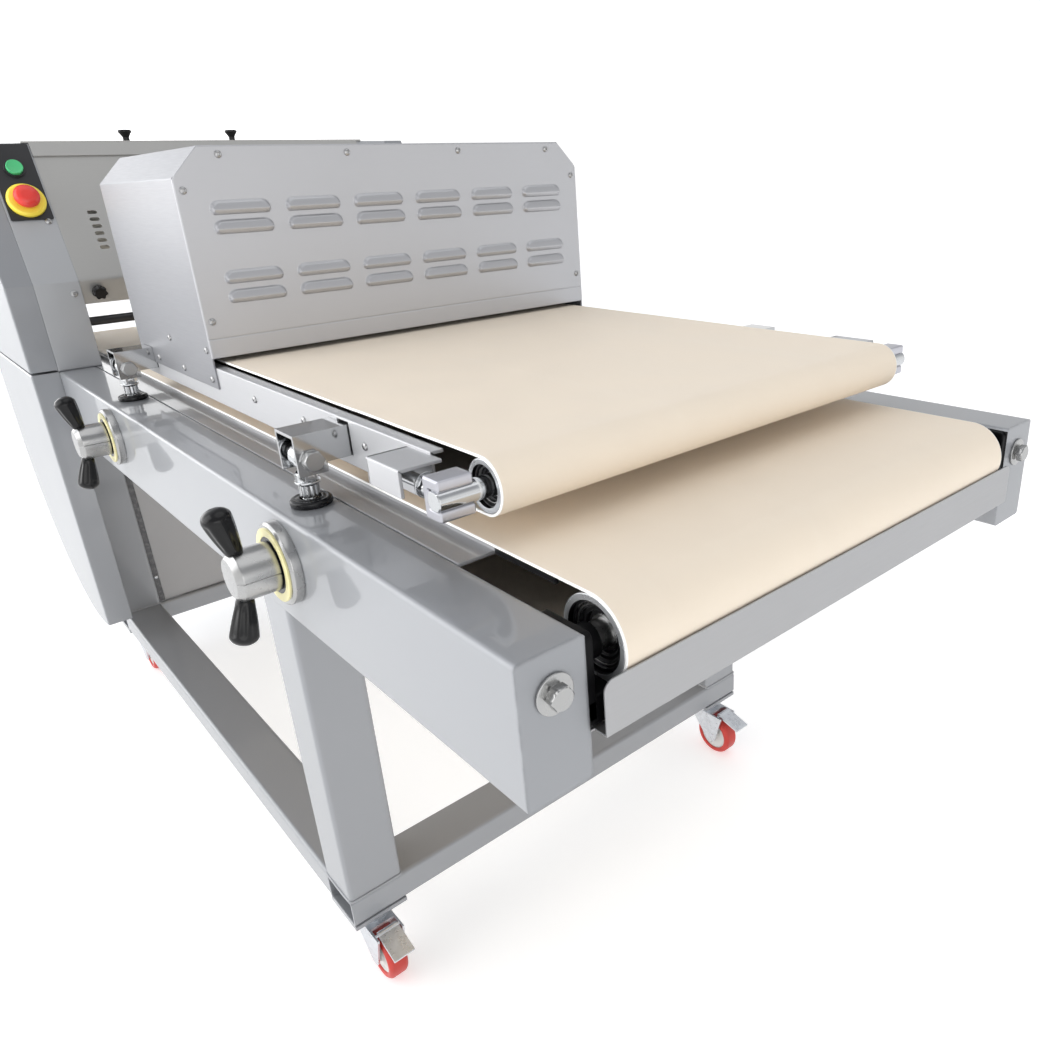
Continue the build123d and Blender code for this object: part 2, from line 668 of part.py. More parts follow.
with BuildPart() as drive_chain:
    for grow, mode in ((CHAIN, Mode.ADD), (0.0, Mode.SUBTRACT)):
        with BuildSketch(Plane.XZ.offset(-CHAIN_Y)):
            with Locations((MOTOR_X, MOTOR_Z)):
                Circle(SPROCKET / 2 + AIR + grow)
            with Locations((LOWER_REAR_X, LOWER_Z)):
                Circle(SPROCKET / 2 + AIR + grow)
            make_hull()
        extrude(amount=SPROCKET_WIDTH, mode=mode)
finish(drive_chain, "drive_chain")

# Head columns: hollow boxes on the beams that carry the sheeting rollers
HEAD_OUTLINE = (
    (HEAD_X, TABLE),
    (HEAD_X, KNEE_Z),
    (BROW_X, HEAD_TOP_Z),
    (CREST_X, HEAD_TOP_Z),
    (TAIL_X, KNEE_Z),
    (TAIL_X, TABLE),
)
SHEETER_XS = (SHEETER_X + SHEETER_PITCH / 2, SHEETER_X - SHEETER_PITCH / 2)
with BuildPart() as head_columns:
    outline(HEAD_OUTLINE, COLUMN_INSIDE, COLUMN_WIDTH)
    fillet(head_columns.edges().filter_by(Axis.Y), COLUMN_ROUND)
    outline(HEAD_OUTLINE, COLUMN_INSIDE + COLUMN_WALL, COLUMN_WIDTH - 2 * COLUMN_WALL, COLUMN_WALL,
            Mode.SUBTRACT)
    block((TAIL_X + 3 * COLUMN_WALL, HEAD_X - 3 * COLUMN_WALL),
          (-HALF + 3 * COLUMN_WALL, -COLUMN_INSIDE - 3 * COLUMN_WALL),
          (TABLE - COLUMN_WALL, TABLE + 2 * COLUMN_WALL), Mode.SUBTRACT)
    for roller_x in SHEETER_XS:
        rod((roller_x, -COLUMN_INSIDE + COLUMN_WALL, SHEETER_Z), (0, -1, 0), SHEETER_SHAFT / 2 + RUN,
            3 * COLUMN_WALL, Mode.SUBTRACT)
    mirror(about=Plane.XZ)
finish(head_columns, "head_columns")

# Upper guards: pans on the outer sides of the columns
GUARD_OUTLINE = (
    (HEAD_X, TABLE + GUARD_SEAM),
    (HEAD_X, KNEE_Z),
    (BROW_X, HEAD_TOP_Z),
    (CREST_X, HEAD_TOP_Z),
    (TAIL_X, KNEE_Z),
    (TAIL_X, TABLE + GUARD_SEAM),
)
with BuildPart() as upper_guards:
    outline(GUARD_OUTLINE, HALF, GUARD_DEPTH)
    fillet(upper_guards.faces().sort_by(Axis.Y)[0].edges(), COLUMN_ROUND)
    outline(GUARD_OUTLINE, HALF, GUARD_DEPTH - GUARD_SHEET, GUARD_SHEET, Mode.SUBTRACT)
    mirror(about=Plane.XZ)
finish(upper_guards, "upper_guards")


# Lower guards: pans that taper down over the chain drive

def guard_section(inset):
    """Draw the lower guard's outline, drawn in by a wall thickness."""
    hip = (REAR + GUARD_HIP_AHEAD + inset, GUARD_HIP)
    toe = (HEAD_X - inset, GUARD_LOW + inset)
    with BuildLine() as border:
        Polyline(hip, (TAIL_X + inset, TABLE - inset), (HEAD_X - inset, TABLE - inset), toe)
        ThreePointArc(toe, (REAR + GUARD_BELLY_AHEAD + inset, GUARD_BELLY + inset), hip)
    make_face(border.edges())


with BuildPart() as lower_guards:
    with BuildSketch(Plane.XZ.offset(HALF)):
        guard_section(0.0)
    extrude(amount=GUARD_DEPTH)
    fillet(lower_guards.faces().sort_by(Axis.Y)[0].edges(), COLUMN_ROUND)
    with BuildSketch(Plane.XZ.offset(HALF)):
        guard_section(GUARD_SHEET)
    extrude(amount=GUARD_DEPTH - GUARD_SHEET, mode=Mode.SUBTRACT)
    mirror(about=Plane.XZ)
finish(lower_guards, "lower_guards")


# Sheeting rollers, geared together inside the near column

def make_sheeter(name, x, turn):
    """Build one sheeting roller with its shaft and gear."""
    gear_y = -HALF + COLUMN_WALL + GEAR_IN
    shaft_far = COLUMN_INSIDE + 2 * COLUMN_WALL
    body_half = COLUMN_INSIDE - COLUMN_WALL
    pitch_radius = SHEETER_PITCH / 2
    with BuildPart() as roller:
        rod((x, -body_half, SHEETER_Z), (0, 1, 0), SHEETER_ROLLER / 2, 2 * body_half)
        rod((x, gear_y - GEAR_WIDTH / 2, SHEETER_Z), (0, 1, 0), SHEETER_SHAFT / 2,
            shaft_far - gear_y + GEAR_WIDTH / 2)
        tip = pitch_radius + TOOTH_ADD
        rim = tip - TOOTH_DEPTH
        root = rim - TOOTH_ADD
        rod((x, gear_y - GEAR_WIDTH / 2, SHEETER_Z), (0, 1, 0), rim, GEAR_WIDTH)
        pitch_angle = radians(360 / SHEETER_TEETH)
        root_half = TOOTH_ROOT_SHARE * pitch_angle / 2 * pitch_radius
        tip_half = TOOTH_TIP_SHARE * pitch_angle / 2 * pitch_radius
        gear_face = (x, gear_y + GEAR_WIDTH / 2, SHEETER_Z)
        corners = ((root, -root_half), (tip, -tip_half), (tip, tip_half), (root, root_half))
        with BuildSketch(Plane(origin=gear_face, x_dir=(1, 0, 0), z_dir=(0, -1, 0))):
            with PolarLocations(0, SHEETER_TEETH, start_angle=turn):
                Polygon(*corners, align=None)
        extrude(amount=GEAR_WIDTH)
    finish(roller, name)


half_tooth = 180 / SHEETER_TEETH
make_sheeter("front_sheeting_roller", SHEETER_XS[0], 0.0)
make_sheeter("rear_sheeting_roller", SHEETER_XS[1], half_tooth)

# Head front panel: a leaning sheet with cooling slots and a lip that hangs from its lower edge
lean_length = (HEAD_LEAN ** 2 + LEAN_RISE ** 2) ** 0.5
lean_out = (LEAN_RISE / lean_length, 0, HEAD_LEAN / lean_length)
lean_plane = Plane(origin=(HEAD_X, 0, KNEE_Z), x_dir=(0, 1, 0), z_dir=lean_out)
with BuildPart() as head_front_panel:
    with BuildSketch(lean_plane):
        with Locations((0, lean_length / 2)):
            Rectangle(2 * COLUMN_INSIDE, lean_length)
        slot_middle = SLOT_LOW + SLOT_PITCH * (SLOT_COUNT - 1) / 2
        for side in (-1, 1):
            with Locations((side * (COLUMN_INSIDE - SLOT_SIDE), slot_middle)):
                with GridLocations(0, SLOT_PITCH, 1, SLOT_COUNT):
                    SlotOverall(SLOT_LENGTH, SLOT_WIDTH, mode=Mode.SUBTRACT)
    extrude(amount=-PANEL)
    block((HEAD_X - PANEL, HEAD_X), (-COLUMN_INSIDE, COLUMN_INSIDE), (KNEE_Z - LIP, KNEE_Z))
finish(head_front_panel, "head_front_panel")

# Lid: top sheet of the head, with a lip over the leaning panel's upper edge
with BuildPart() as head_lid:
    lid_half = COLUMN_INSIDE + LID_OVER
    block((CREST_X, BROW_X + LID_REACH), (-lid_half, lid_half), (HEAD_TOP_Z, HEAD_TOP_Z + LID_SHEET))
    with BuildSketch(Plane(origin=(BROW_X, 0, HEAD_TOP_Z), x_dir=(0, 1, 0), z_dir=lean_out)):
        with Locations((0, -LID_LIP / 2)):
            Rectangle(2 * COLUMN_INSIDE, LID_LIP)
    extrude(amount=LID_REACH)
finish(head_lid, "head_lid")

# Feed chute that slopes down to the sheeting rollers from behind
with BuildPart() as feed_chute:
    chute_top = (REAR - CHUTE_PAST, CHUTE_TOP)
    chute_end = (REAR + CHUTE_END_AHEAD, CHUTE_END)
    floor_points = (chute_top, chute_end, (chute_end[0], chute_end[1] - CHUTE_SHEET),
                    (chute_top[0], chute_top[1] - CHUTE_SHEET))
    outline(floor_points, -COLUMN_INSIDE, 2 * COLUMN_INSIDE)
    wall_points = (chute_top, chute_end, (chute_end[0], chute_end[1] + CHUTE_SIDE),
                   (chute_top[0], chute_top[1] + CHUTE_SIDE))
    outline(wall_points, COLUMN_INSIDE - CHUTE_SHEET, CHUTE_SHEET)
    outline(wall_points, -COLUMN_INSIDE, CHUTE_SHEET)
finish(feed_chute, "feed_chute")

# Cabinet panel between the rear legs
with BuildPart() as cabinet_panel:
    cabinet_face = REAR_LEG_X + LEG / 2 - CABINET_SET_IN
    cabinet_half = LEG_OUTSIDE - LEG
    block((cabinet_face - PANEL, cabinet_face), (-cabinet_half, cabinet_half), (CABINET_LOW, BEAM_BOTTOM))
finish(cabinet_panel, "cabinet_panel")

# Hand knobs of the head: two on the lid and one on the lip
with BuildPart() as head_knobs:
    lid_top = HEAD_TOP_Z + LID_SHEET
    for side in (-1, 1):
        knob = (REAR + LID_KNOB_AHEAD, side * LID_KNOB_SIDE, lid_top)
        rod(knob, (0, 0, 1), KNOB_STEM / 2, KNOB_HEIGHT)
        rod((knob[0], knob[1], lid_top + KNOB_HEIGHT - KNOB_CAP), (0, 0, 1), KNOB_HEAD / 2, KNOB_CAP)
    lip_knob = (HEAD_X, -COLUMN_INSIDE + LIP_KNOB_SIDE, KNEE_Z - LIP_KNOB_DROP)
    rod(lip_knob, (1, 0, 0), LIP_KNOB / 2, LIP_KNOB_HEIGHT)
finish(head_knobs, "head_knobs")

# Throat bar across the head, above the lower belt
with BuildPart() as throat_bar:
    rod((HEAD_X - BAR_BACK, -COLUMN_INSIDE, KNEE_Z - BAR_DROP), (0, 1, 0), BAR / 2, 2 * COLUMN_INSIDE)
finish(throat_bar, "throat_bar")

# Control panel on the leaning face of the near column
control_y = -(COLUMN_INSIDE + HALF) / 2
control_width = COLUMN_WIDTH - 2 * CONTROL_EDGE
control_high = lean_length - CONTROL_EDGE
control_plane = Plane(origin=(HEAD_X, control_y, KNEE_Z), x_dir=(0, 1, 0), z_dir=lean_out)
button_sites = ((ESTOP_UP, ESTOP_STEM), (START_UP, START_BUTTON))
with BuildPart() as control_panel:
    with BuildSketch(control_plane):
        with Locations((0, (CONTROL_LOW + control_high) / 2)):
            RectangleRounded(control_width, control_high - CONTROL_LOW, CONTROL_EDGE)
        for height, across in button_sites:
            with Locations((0, height)):
                Circle(across / 2 + AIR, mode=Mode.SUBTRACT)
    extrude(amount=CONTROL_PLATE)
    with BuildSketch(control_plane.offset(CONTROL_PLATE)):
        with Locations((0, START_UP)):
            Circle(START_RING / 2)
            Circle(START_BUTTON / 2 + AIR, mode=Mode.SUBTRACT)
    extrude(amount=START_RING_HEIGHT)
finish(control_panel, "control_panel")

with BuildPart() as estop_base:
    with BuildSketch(control_plane.offset(CONTROL_PLATE)):
        with Locations((0, ESTOP_UP)):
            Circle(ESTOP_RING / 2)
            Circle(ESTOP_STEM / 2 + AIR, mode=Mode.SUBTRACT)
    extrude(amount=ESTOP_RING_HEIGHT)
finish(estop_base, "estop_base")

# The mushroom stands off its ring by the travel
with BuildPart() as estop_button:
    ring_top = CONTROL_PLATE + ESTOP_RING_HEIGHT
    with BuildSketch(control_plane.offset(ESTOP_TRAVEL + AIR)):
        with Locations((0, ESTOP_UP)):
            Circle(ESTOP_STEM / 2)
    extrude(amount=ring_top)
    with BuildSketch(control_plane.offset(ring_top + ESTOP_TRAVEL + AIR)):
        with Locations((0, ESTOP_UP)):
            Circle(ESTOP_HEAD / 2)
    extrude(amount=ESTOP_HEAD_HEIGHT)
    fillet(estop_button.faces().sort_by(Axis.X)[-1].edges(), ESTOP_HEAD_HEIGHT / 2)
finish(estop_button, "estop_button")

with BuildPart() as start_button:
    with BuildSketch(control_plane.offset(START_TRAVEL + AIR)):
        with Locations((0, START_UP)):
            Circle(START_BUTTON / 2)
    extrude(amount=CONTROL_PLATE + START_HEIGHT)
finish(start_button, "start_button")

# Upper conveyor side plates with their top flange, tension housings and slots for the cross bars
LIFT_XS = (FRONT - FRONT_LIFT_BACK, FRONT - REAR_LIFT_BACK)
with BuildPart() as upper_side_plates:
    plate_x = (FRONT - PLATE_REAR_BACK, FRONT - PLATE_FRONT_BACK)
    block(plate_x, (-PLATE_OUT, -PLATE_IN), (PLATE_LOW, PLATE_HIGH))
    block(plate_x, (-PLATE_IN, -PLATE_IN + PLATE_FLANGE), (PLATE_HIGH - PLATE_FLANGE_SHEET, PLATE_HIGH))
    for lift_x in LIFT_XS:
        block((lift_x - CROSS_WIDTH / 2, lift_x + CROSS_WIDTH / 2 + SLOT_AHEAD), (-PLATE_OUT, -PLATE_IN),
              (CROSS_BOTTOM, CROSS_TOP), Mode.SUBTRACT)
    housing_x = (HOUSING_X - HOUSING_LENGTH, HOUSING_X)
    housing_z = (UPPER_Z - HOUSING / 2, UPPER_Z + HOUSING / 2)
    block(housing_x, (-PLATE_OUT - HOUSING, -PLATE_OUT), housing_z)
    block((housing_x[0] - HOUSING, housing_x[1] + HOUSING),
          (-PLATE_OUT - HOUSING + HOUSING_WALL, -PLATE_OUT - HOUSING_WALL),
          (housing_z[0] + HOUSING_WALL, housing_z[1] - HOUSING_WALL), Mode.SUBTRACT)
    block((housing_x[0], housing_x[0] + HOUSING_WALL), (-PLATE_OUT - HOUSING, -PLATE_OUT), housing_z)
    rod((housing_x[0] - HOUSING, -HOUSING_MIDDLE, UPPER_Z), (1, 0, 0), ROD / 2 + LOOSE, 2 * HOUSING,
        Mode.SUBTRACT)
    rod((UPPER_REAR_X, -PLATE_IN + SIDE_PLATE, UPPER_Z), (0, -1, 0), UPPER_SHAFT / 2 + RUN, 3 * SIDE_PLATE,
        Mode.SUBTRACT)
    mirror(about=Plane.XZ)
finish(upper_side_plates, "upper_side_plates")


# Cross bars: inverted channels whose ends are clevises on the lift studs

def make_cross_bar(name, x):
    """Build one cross bar of the upper conveyor."""
    half = LIFT_Y + CROSS_OVER
    web = (x - CROSS_WIDTH / 2, x + CROSS_WIDTH / 2)
    with BuildPart() as bar:
        block(web, (-half, half), (CROSS_BOTTOM, CROSS_TOP))
        for side in (-1, 1):
            block(web, (side * half, side * (half - EAR_LENGTH)), (CROSS_TOP - EAR_DEPTH, CROSS_TOP))
        block((web[0] + CROSS_WALL, web[1] - CROSS_WALL), (-2 * half, 2 * half),
              (CROSS_TOP - 2 * EAR_DEPTH, CROSS_TOP - CROSS_WALL), Mode.SUBTRACT)
        for side in (-1, 1):
            rod((x - CROSS_WIDTH, side * LIFT_Y, EYE_Z), (1, 0, 0), CLEVIS_BOLT / 2 + LOOSE,
                2 * CROSS_WIDTH, Mode.SUBTRACT)
    finish(bar, name)


make_cross_bar("front_cross_bar", LIFT_XS[0])
make_cross_bar("rear_cross_bar", LIFT_XS[1])

# Press bed that lies on the upper belt's lower run
with BuildPart() as upper_bed:
    bed_low = UPPER_BOTTOM + BELT
    block((FRONT - BED_REAR_BACK, FRONT - BED_FRONT_BACK), (-PLATE_IN, PLATE_IN),
          (bed_low, bed_low + PRESS_BED))
finish(upper_bed, "upper_bed")

with BuildPart() as upper_front_roller:
    roller_tube(UPPER_FRONT_X, UPPER_Z, UPPER_RADIUS, UPPER_SHAFT / 2 + RUN)
finish(upper_front_roller, "upper_front_roller")

with BuildPart() as upper_drive_roller:
    roller_tube(UPPER_REAR_X, UPPER_Z, UPPER_RADIUS)
    rod((UPPER_REAR_X, -PLATE_OUT, UPPER_Z), (0, 1, 0), UPPER_SHAFT / 2, 2 * PLATE_OUT)
finish(upper_drive_roller, "upper_drive_roller")

# Tension yokes with their threaded rods and nuts, and the fixed shaft that they pull
yoke_y = (-HOUSING_MIDDLE - YOKE_LENGTH / 2, -HOUSING_MIDDLE + YOKE_LENGTH / 2)
with BuildPart() as tension_yokes:
    yoke_x = (FRONT - YOKE_BACK, FRONT - YOKE_FRONT)
    block(yoke_x, yoke_y, (UPPER_Z - YOKE_HEIGHT / 2, UPPER_Z + YOKE_HEIGHT / 2))
    jaw = YOKE_HEIGHT / 2 - YOKE_LIP
    jaw_x = (yoke_x[0] + YOKE_WEB, yoke_x[1] + YOKE_WEB)
    block(jaw_x, yoke_y, (UPPER_Z - jaw, UPPER_Z + jaw), Mode.SUBTRACT)
    rod_start = HOUSING_X - HOUSING_LENGTH - HOUSING_WALL
    rod((rod_start, -HOUSING_MIDDLE, UPPER_Z), (1, 0, 0), ROD / 2, yoke_x[0] - rod_start)
    hexagon((HOUSING_X - ROD_NUT / 2, -HOUSING_MIDDLE, UPPER_Z), (1, 0, 0), ROD_HEX, ROD_NUT)
    mirror(about=Plane.XZ)
    shaft_end = HOUSING_MIDDLE + YOKE_LENGTH / 2 + SHAFT_PROUD
    rod((UPPER_FRONT_X, -shaft_end, UPPER_Z), (0, 1, 0), UPPER_SHAFT / 2, 2 * shaft_end)
finish(tension_yokes, "tension_yokes")

# Hood shell: sides, top and back, with skirts screwed to the side plates
skirt_z = TABLE + HOOD_SKIRT


def hood_points(inset):
    """List the corners of the hood's section across the belt, drawn in by a wall thickness."""
    half = HOOD_HALF - inset
    top = HOOD_TOP_Z - inset
    cut = HOOD_CHAMFER - inset * (2 - 2 ** 0.5)
    return ((-half, skirt_z), (half, skirt_z), (half, top - cut), (half - cut, top), (-half + cut, top),
            (-half, top - cut))


with BuildPart() as hood_shell:
    with BuildSketch(Plane.YZ.offset(HOOD_REAR_X)):
        with BuildLine():
            Polyline(*hood_points(0.0), close=True)
        make_face()
    extrude(amount=HOOD_LENGTH - PANEL)
    fillet(hood_shell.edges().filter_by(Axis.X).group_by(Axis.Z)[1:], HOOD_ROUND)
    with BuildSketch(Plane.YZ.offset(HOOD_REAR_X + HOOD_SHEET)):
        with BuildLine():
            Polyline(*hood_points(HOOD_SHEET), close=True)
        make_face()
    extrude(amount=HOOD_LENGTH, mode=Mode.SUBTRACT)
    block((HOOD_REAR_X - HOOD_SHEET, HOOD_REAR_X + HOOD_SHEET), (-PLATE_OUT, PLATE_OUT),
          (skirt_z, HOOD_BOTTOM_Z), Mode.SUBTRACT)
    bar_half = CROSS_WIDTH / 2 + LOOSE
    block((LIFT_XS[1] - bar_half, LIFT_XS[1] + bar_half), (-HOOD_HALF, HOOD_HALF),
          (skirt_z - HOOD_SHEET, CROSS_TOP + LOOSE), Mode.SUBTRACT)
finish(hood_shell, "hood_shell")

# Hood front panel with pressed louvres
with BuildPart() as hood_front_panel:
    with BuildSketch(Plane.YZ.offset(HOOD_X - PANEL)):
        with BuildLine():
            low = HOOD_BOTTOM_Z
            Polyline((-HOOD_HALF, low), (HOOD_HALF, low), *hood_points(0.0)[2:], close=True)
        make_face()
    extrude(amount=PANEL)
    louvre_span = LOUVRE_PITCH * (LOUVRE_COLUMNS - 1)
    louvre_sites = [(LOUVRE_PITCH * column - louvre_span / 2, TABLE + row)
                    for row in LOUVRE_ROWS for column in range(LOUVRE_COLUMNS)]
    with BuildSketch(Plane.YZ.offset(HOOD_X)):
        with Locations(*louvre_sites):
            SlotOverall(LOUVRE_LENGTH, LOUVRE_HEIGHT)
    extrude(amount=LOUVRE_RISE, taper=LOUVRE_ANGLE)
    slot_drop = LOUVRE_HEIGHT / 2 - LOUVRE_SLOT / 2
    for louvre_y, louvre_z in louvre_sites:
        mouth = LOUVRE_LENGTH / 2 - LOUVRE_HEIGHT / 2
        block((HOOD_X - 2 * PANEL, HOOD_X + LOUVRE_SLOT / 2), (louvre_y - mouth, louvre_y + mouth),
              (louvre_z - slot_drop - LOUVRE_SLOT, louvre_z - slot_drop + LOUVRE_SLOT / 2), Mode.SUBTRACT)
finish(hood_front_panel, "hood_front_panel")

# Round-head screws of the upper conveyor and hood, and the hexagon clevis bolts
with BuildPart() as upper_fasteners:
    for side in (-1, 1):
        out = (0, side, 0)
        for number in range(SCREW_COUNT):
            dome((FRONT - SCREW_BACK - number * SCREW_PITCH, side * PLATE_OUT, PLATE_SCREW_Z), out,
                 SCREW_HEAD, SCREW_DOME)
        for back in SKIRT_SCREW_BACKS:
            dome((FRONT - back, side * HOOD_HALF, TABLE + SKIRT_SCREW_UP), out, SCREW_HEAD, SCREW_DOME)
        for back in SIDE_SCREW_BACKS:
            dome((FRONT - back, side * HOOD_HALF, TABLE + SIDE_SCREW_UP), out, SCREW_HEAD, SCREW_DOME)
        for height in FACE_SCREW_HEIGHTS:
            dome((HOOD_X, side * (HOOD_HALF - FACE_SCREW_EDGE), TABLE + height), (1, 0, 0),
                 SCREW_HEAD, SCREW_DOME)
        for lift_x in LIFT_XS:
            bolt = (lift_x - CROSS_WIDTH / 2 - CLEVIS_HEAD, side * LIFT_Y, EYE_Z)
            bolt_front = (lift_x + CROSS_WIDTH / 2, side * LIFT_Y, EYE_Z)
            rod((lift_x - CROSS_WIDTH / 2, side * LIFT_Y, EYE_Z), (1, 0, 0), CLEVIS_BOLT / 2, CROSS_WIDTH)
            hexagon(bolt, (1, 0, 0), CLEVIS_HEX, CLEVIS_HEAD)
            hexagon(bolt_front, (1, 0, 0), CLEVIS_HEX, CLEVIS_HEAD)
    for share in FACE_SCREW_SHARES:
        dome((HOOD_X, share * HOOD_HALF, HOOD_TOP_Z - FACE_SCREW_EDGE), (1, 0, 0), SCREW_HEAD, SCREW_DOME)
finish(upper_fasteners, "upper_fasteners")

# Upper gearmotor on a bridge between the hood's sides
with BuildPart() as upper_motor:
    bridge_z = UPPER_TOP + BRIDGE_UP
    bridge_x = FRONT - BRIDGE_BACK
    motor_z = bridge_z + BRIDGE + UPPER_GEARBOX / 2
    block((bridge_x - BRIDGE_LENGTH / 2, bridge_x + BRIDGE_LENGTH / 2), (-PLATE_OUT, PLATE_OUT),
          (bridge_z, bridge_z + BRIDGE))
    block((bridge_x - UPPER_GEARBOX / 2, bridge_x + UPPER_GEARBOX / 2),
          (-UPPER_GEARBOX_LENGTH / 2, UPPER_GEARBOX_LENGTH / 2),
          (bridge_z + BRIDGE, motor_z + UPPER_GEARBOX / 2))
    rod((bridge_x, UPPER_GEARBOX_LENGTH / 2, motor_z), (0, 1, 0), UPPER_MOTOR / 2, UPPER_MOTOR_LENGTH)
finish(upper_motor, "upper_motor")


# Lift studs: eye, lock nut, collar and the stud that rides on the cam

def make_lift_studs(name, x):
    """Build the near and far stud of one cross bar."""
    with BuildPart() as studs:
        for side in (-1, 1):
            y = side * LIFT_Y
            collar_low = BUSH_TOP + COLLAR_GAP
            nut_low = collar_low + COLLAR_HEIGHT
            rod((x - EYE_THICK / 2, y, EYE_Z), (1, 0, 0), EYE / 2, EYE_THICK)
            rod((x, y, STUD_LOW), (0, 0, 1), STUD / 2, EYE_Z - STUD_LOW)
            rod((x, y, collar_low), (0, 0, 1), COLLAR / 2, COLLAR_HEIGHT)
            rod((x, y, nut_low - COLLAR_FLANGE_HEIGHT), (0, 0, 1), COLLAR_FLANGE / 2, COLLAR_FLANGE_HEIGHT)
            hexagon((x, y, nut_low), (0, 0, 1), STUD_NUT_HEX, STUD_NUT)
            rod((x - EYE_THICK, y, EYE_Z), (1, 0, 0), CLEVIS_BOLT / 2 + EYE_SLACK, 2 * EYE_THICK,
                Mode.SUBTRACT)
    finish(studs, name)


make_lift_studs("front_lift_studs", LIFT_XS[0])
make_lift_studs("rear_lift_studs", LIFT_XS[1])

# Bushes on the beams that guide the studs
with BuildPart() as lift_bushes:
    for lift_x in LIFT_XS:
        for side in (-1, 1):
            rod((lift_x, side * LIFT_Y, TABLE), (0, 0, 1), BUSH / 2, BUSH_HEIGHT)
            rod((lift_x, side * LIFT_Y, TABLE), (0, 0, 1), STUD_HOLE, BUSH_HEIGHT, Mode.SUBTRACT)
finish(lift_bushes, "lift_bushes")

# Handle flanges on the near beam, each with a friction ring in front
with BuildPart() as handle_flanges:
    for lift_x in LIFT_XS:
        rod((lift_x, -HALF, HANDLE_Z), (0, -1, 0), FLANGE / 2, FLANGE_HEIGHT)
        rod((lift_x, -HALF - FLANGE_HEIGHT, HANDLE_Z), (0, -1, 0), RING / 2, RING_HEIGHT)
        rod((lift_x, -HALF, HANDLE_Z), (0, -1, 0), HANDLE_SHAFT / 2 + RUN, HUB_START, Mode.SUBTRACT)
finish(handle_flanges, "handle_flanges")


# Lift handles: hub, cross shaft and cams in one piece, with two grips

def cam_point(share):
    """Give the cam's outline at a share of a half turn from straight up, with an even rise."""
    radius = CAM_LOW + CAM_LIFT * abs(share)
    return radius * sin(pi * share), radius * cos(pi * share)


def make_handle(name, x):
    """Build one handle with the shaft that lifts both studs of its cross bar."""
    dish = radians(ARM_DISH_ANGLE)
    hub_y = -HALF - HUB_START
    arm_y = hub_y - ARM_OUT
    far_end = HALF - 2 * BEAM_WALL
    rise = [cam_point(step / CAM_POINTS) for step in range(CAM_POINTS + 1)]
    fall = [cam_point(step / CAM_POINTS - 1) for step in range(CAM_POINTS + 1)]
    with BuildPart() as handle:
        rod((x, hub_y, HANDLE_Z), (0, -1, 0), HUB / 2, HUB_LENGTH)
        fillet(handle.faces().sort_by(Axis.Y)[0].edges(), HUB_ROUND)
        for up in (-1, 1):
            rod((x, arm_y, HANDLE_Z), (0, -sin(dish), up * cos(dish)), ARM / 2, GRIP_START)
        rod((x, hub_y, HANDLE_Z), (0, 1, 0), HANDLE_SHAFT / 2, far_end - hub_y)
        for side in (-1, 1):
            with BuildSketch(Plane(origin=(x, side * LIFT_Y, HANDLE_Z), x_dir=(1, 0, 0), z_dir=(0, -1, 0))):
                with BuildLine():
                    Spline(*rise)
                    Spline(*fall)
                make_face()
            extrude(amount=CAM_WIDTH / 2, both=True)
    finish(handle, name)

    with BuildPart() as grips:
        for up in (-1, 1):
            direction = (0, -sin(dish), up * cos(dish))
            start = (x, arm_y - GRIP_START * sin(dish), HANDLE_Z + up * GRIP_START * cos(dish))
            with Locations(Plane(origin=start, z_dir=direction)):
                Cone(GRIP_ROOT / 2, GRIP_TIP / 2, GRIP_LENGTH,
                     align=(Align.CENTER, Align.CENTER, Align.MIN))
        ends = grips.faces().filter_by(GeomType.PLANE).sort_by(Axis.Z)
        fillet(ends[0].edges() + ends[-1].edges(), GRIP_ROUND)
    finish(grips, f"{name}_grips")


make_handle("front_handle", LIFT_XS[0])
make_handle("rear_handle", LIFT_XS[1])
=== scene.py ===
"""Looks of a two-belt dough moulder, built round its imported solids."""

import json
import logging
import math
from collections.abc import Callable, Sequence
from dataclasses import dataclass, replace
from enum import Enum

import bmesh
import bpy
import numpy as np
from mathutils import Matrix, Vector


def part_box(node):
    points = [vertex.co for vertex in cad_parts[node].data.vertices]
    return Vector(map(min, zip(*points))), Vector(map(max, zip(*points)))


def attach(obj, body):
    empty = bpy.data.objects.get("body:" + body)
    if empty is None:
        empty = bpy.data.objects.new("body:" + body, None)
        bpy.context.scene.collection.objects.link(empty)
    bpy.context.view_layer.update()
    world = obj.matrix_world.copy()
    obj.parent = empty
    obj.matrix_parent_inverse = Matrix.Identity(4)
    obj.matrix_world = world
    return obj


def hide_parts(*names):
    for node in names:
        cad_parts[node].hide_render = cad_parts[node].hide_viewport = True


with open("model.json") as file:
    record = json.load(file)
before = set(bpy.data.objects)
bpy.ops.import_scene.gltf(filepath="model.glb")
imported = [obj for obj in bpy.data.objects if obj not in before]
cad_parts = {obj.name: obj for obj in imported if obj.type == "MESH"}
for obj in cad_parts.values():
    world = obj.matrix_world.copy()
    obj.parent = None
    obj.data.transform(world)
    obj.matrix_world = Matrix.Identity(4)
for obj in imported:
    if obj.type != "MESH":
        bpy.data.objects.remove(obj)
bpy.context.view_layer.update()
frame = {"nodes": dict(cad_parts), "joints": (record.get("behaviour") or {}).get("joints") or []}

LOG = logging.getLogger("dough_moulder")
Array = np.ndarray
Pair = tuple[float, float]
Point = tuple[float, float, float]
Colour = tuple[float, float, float]
Sizes = tuple[float, ...]
Corners = Sequence[Sequence[float]]
Shape = Callable[[Array, Array, Array], Array]
Socket = bpy.types.NodeSocket
Inputs = dict[str | int, object]
MM = 0.001
TURN = 2 * math.pi
QUARTER = math.pi / 2
MERGE = 1e-6
CREASE = 32.0
WHITE = (1.0, 1.0, 1.0, 1.0)

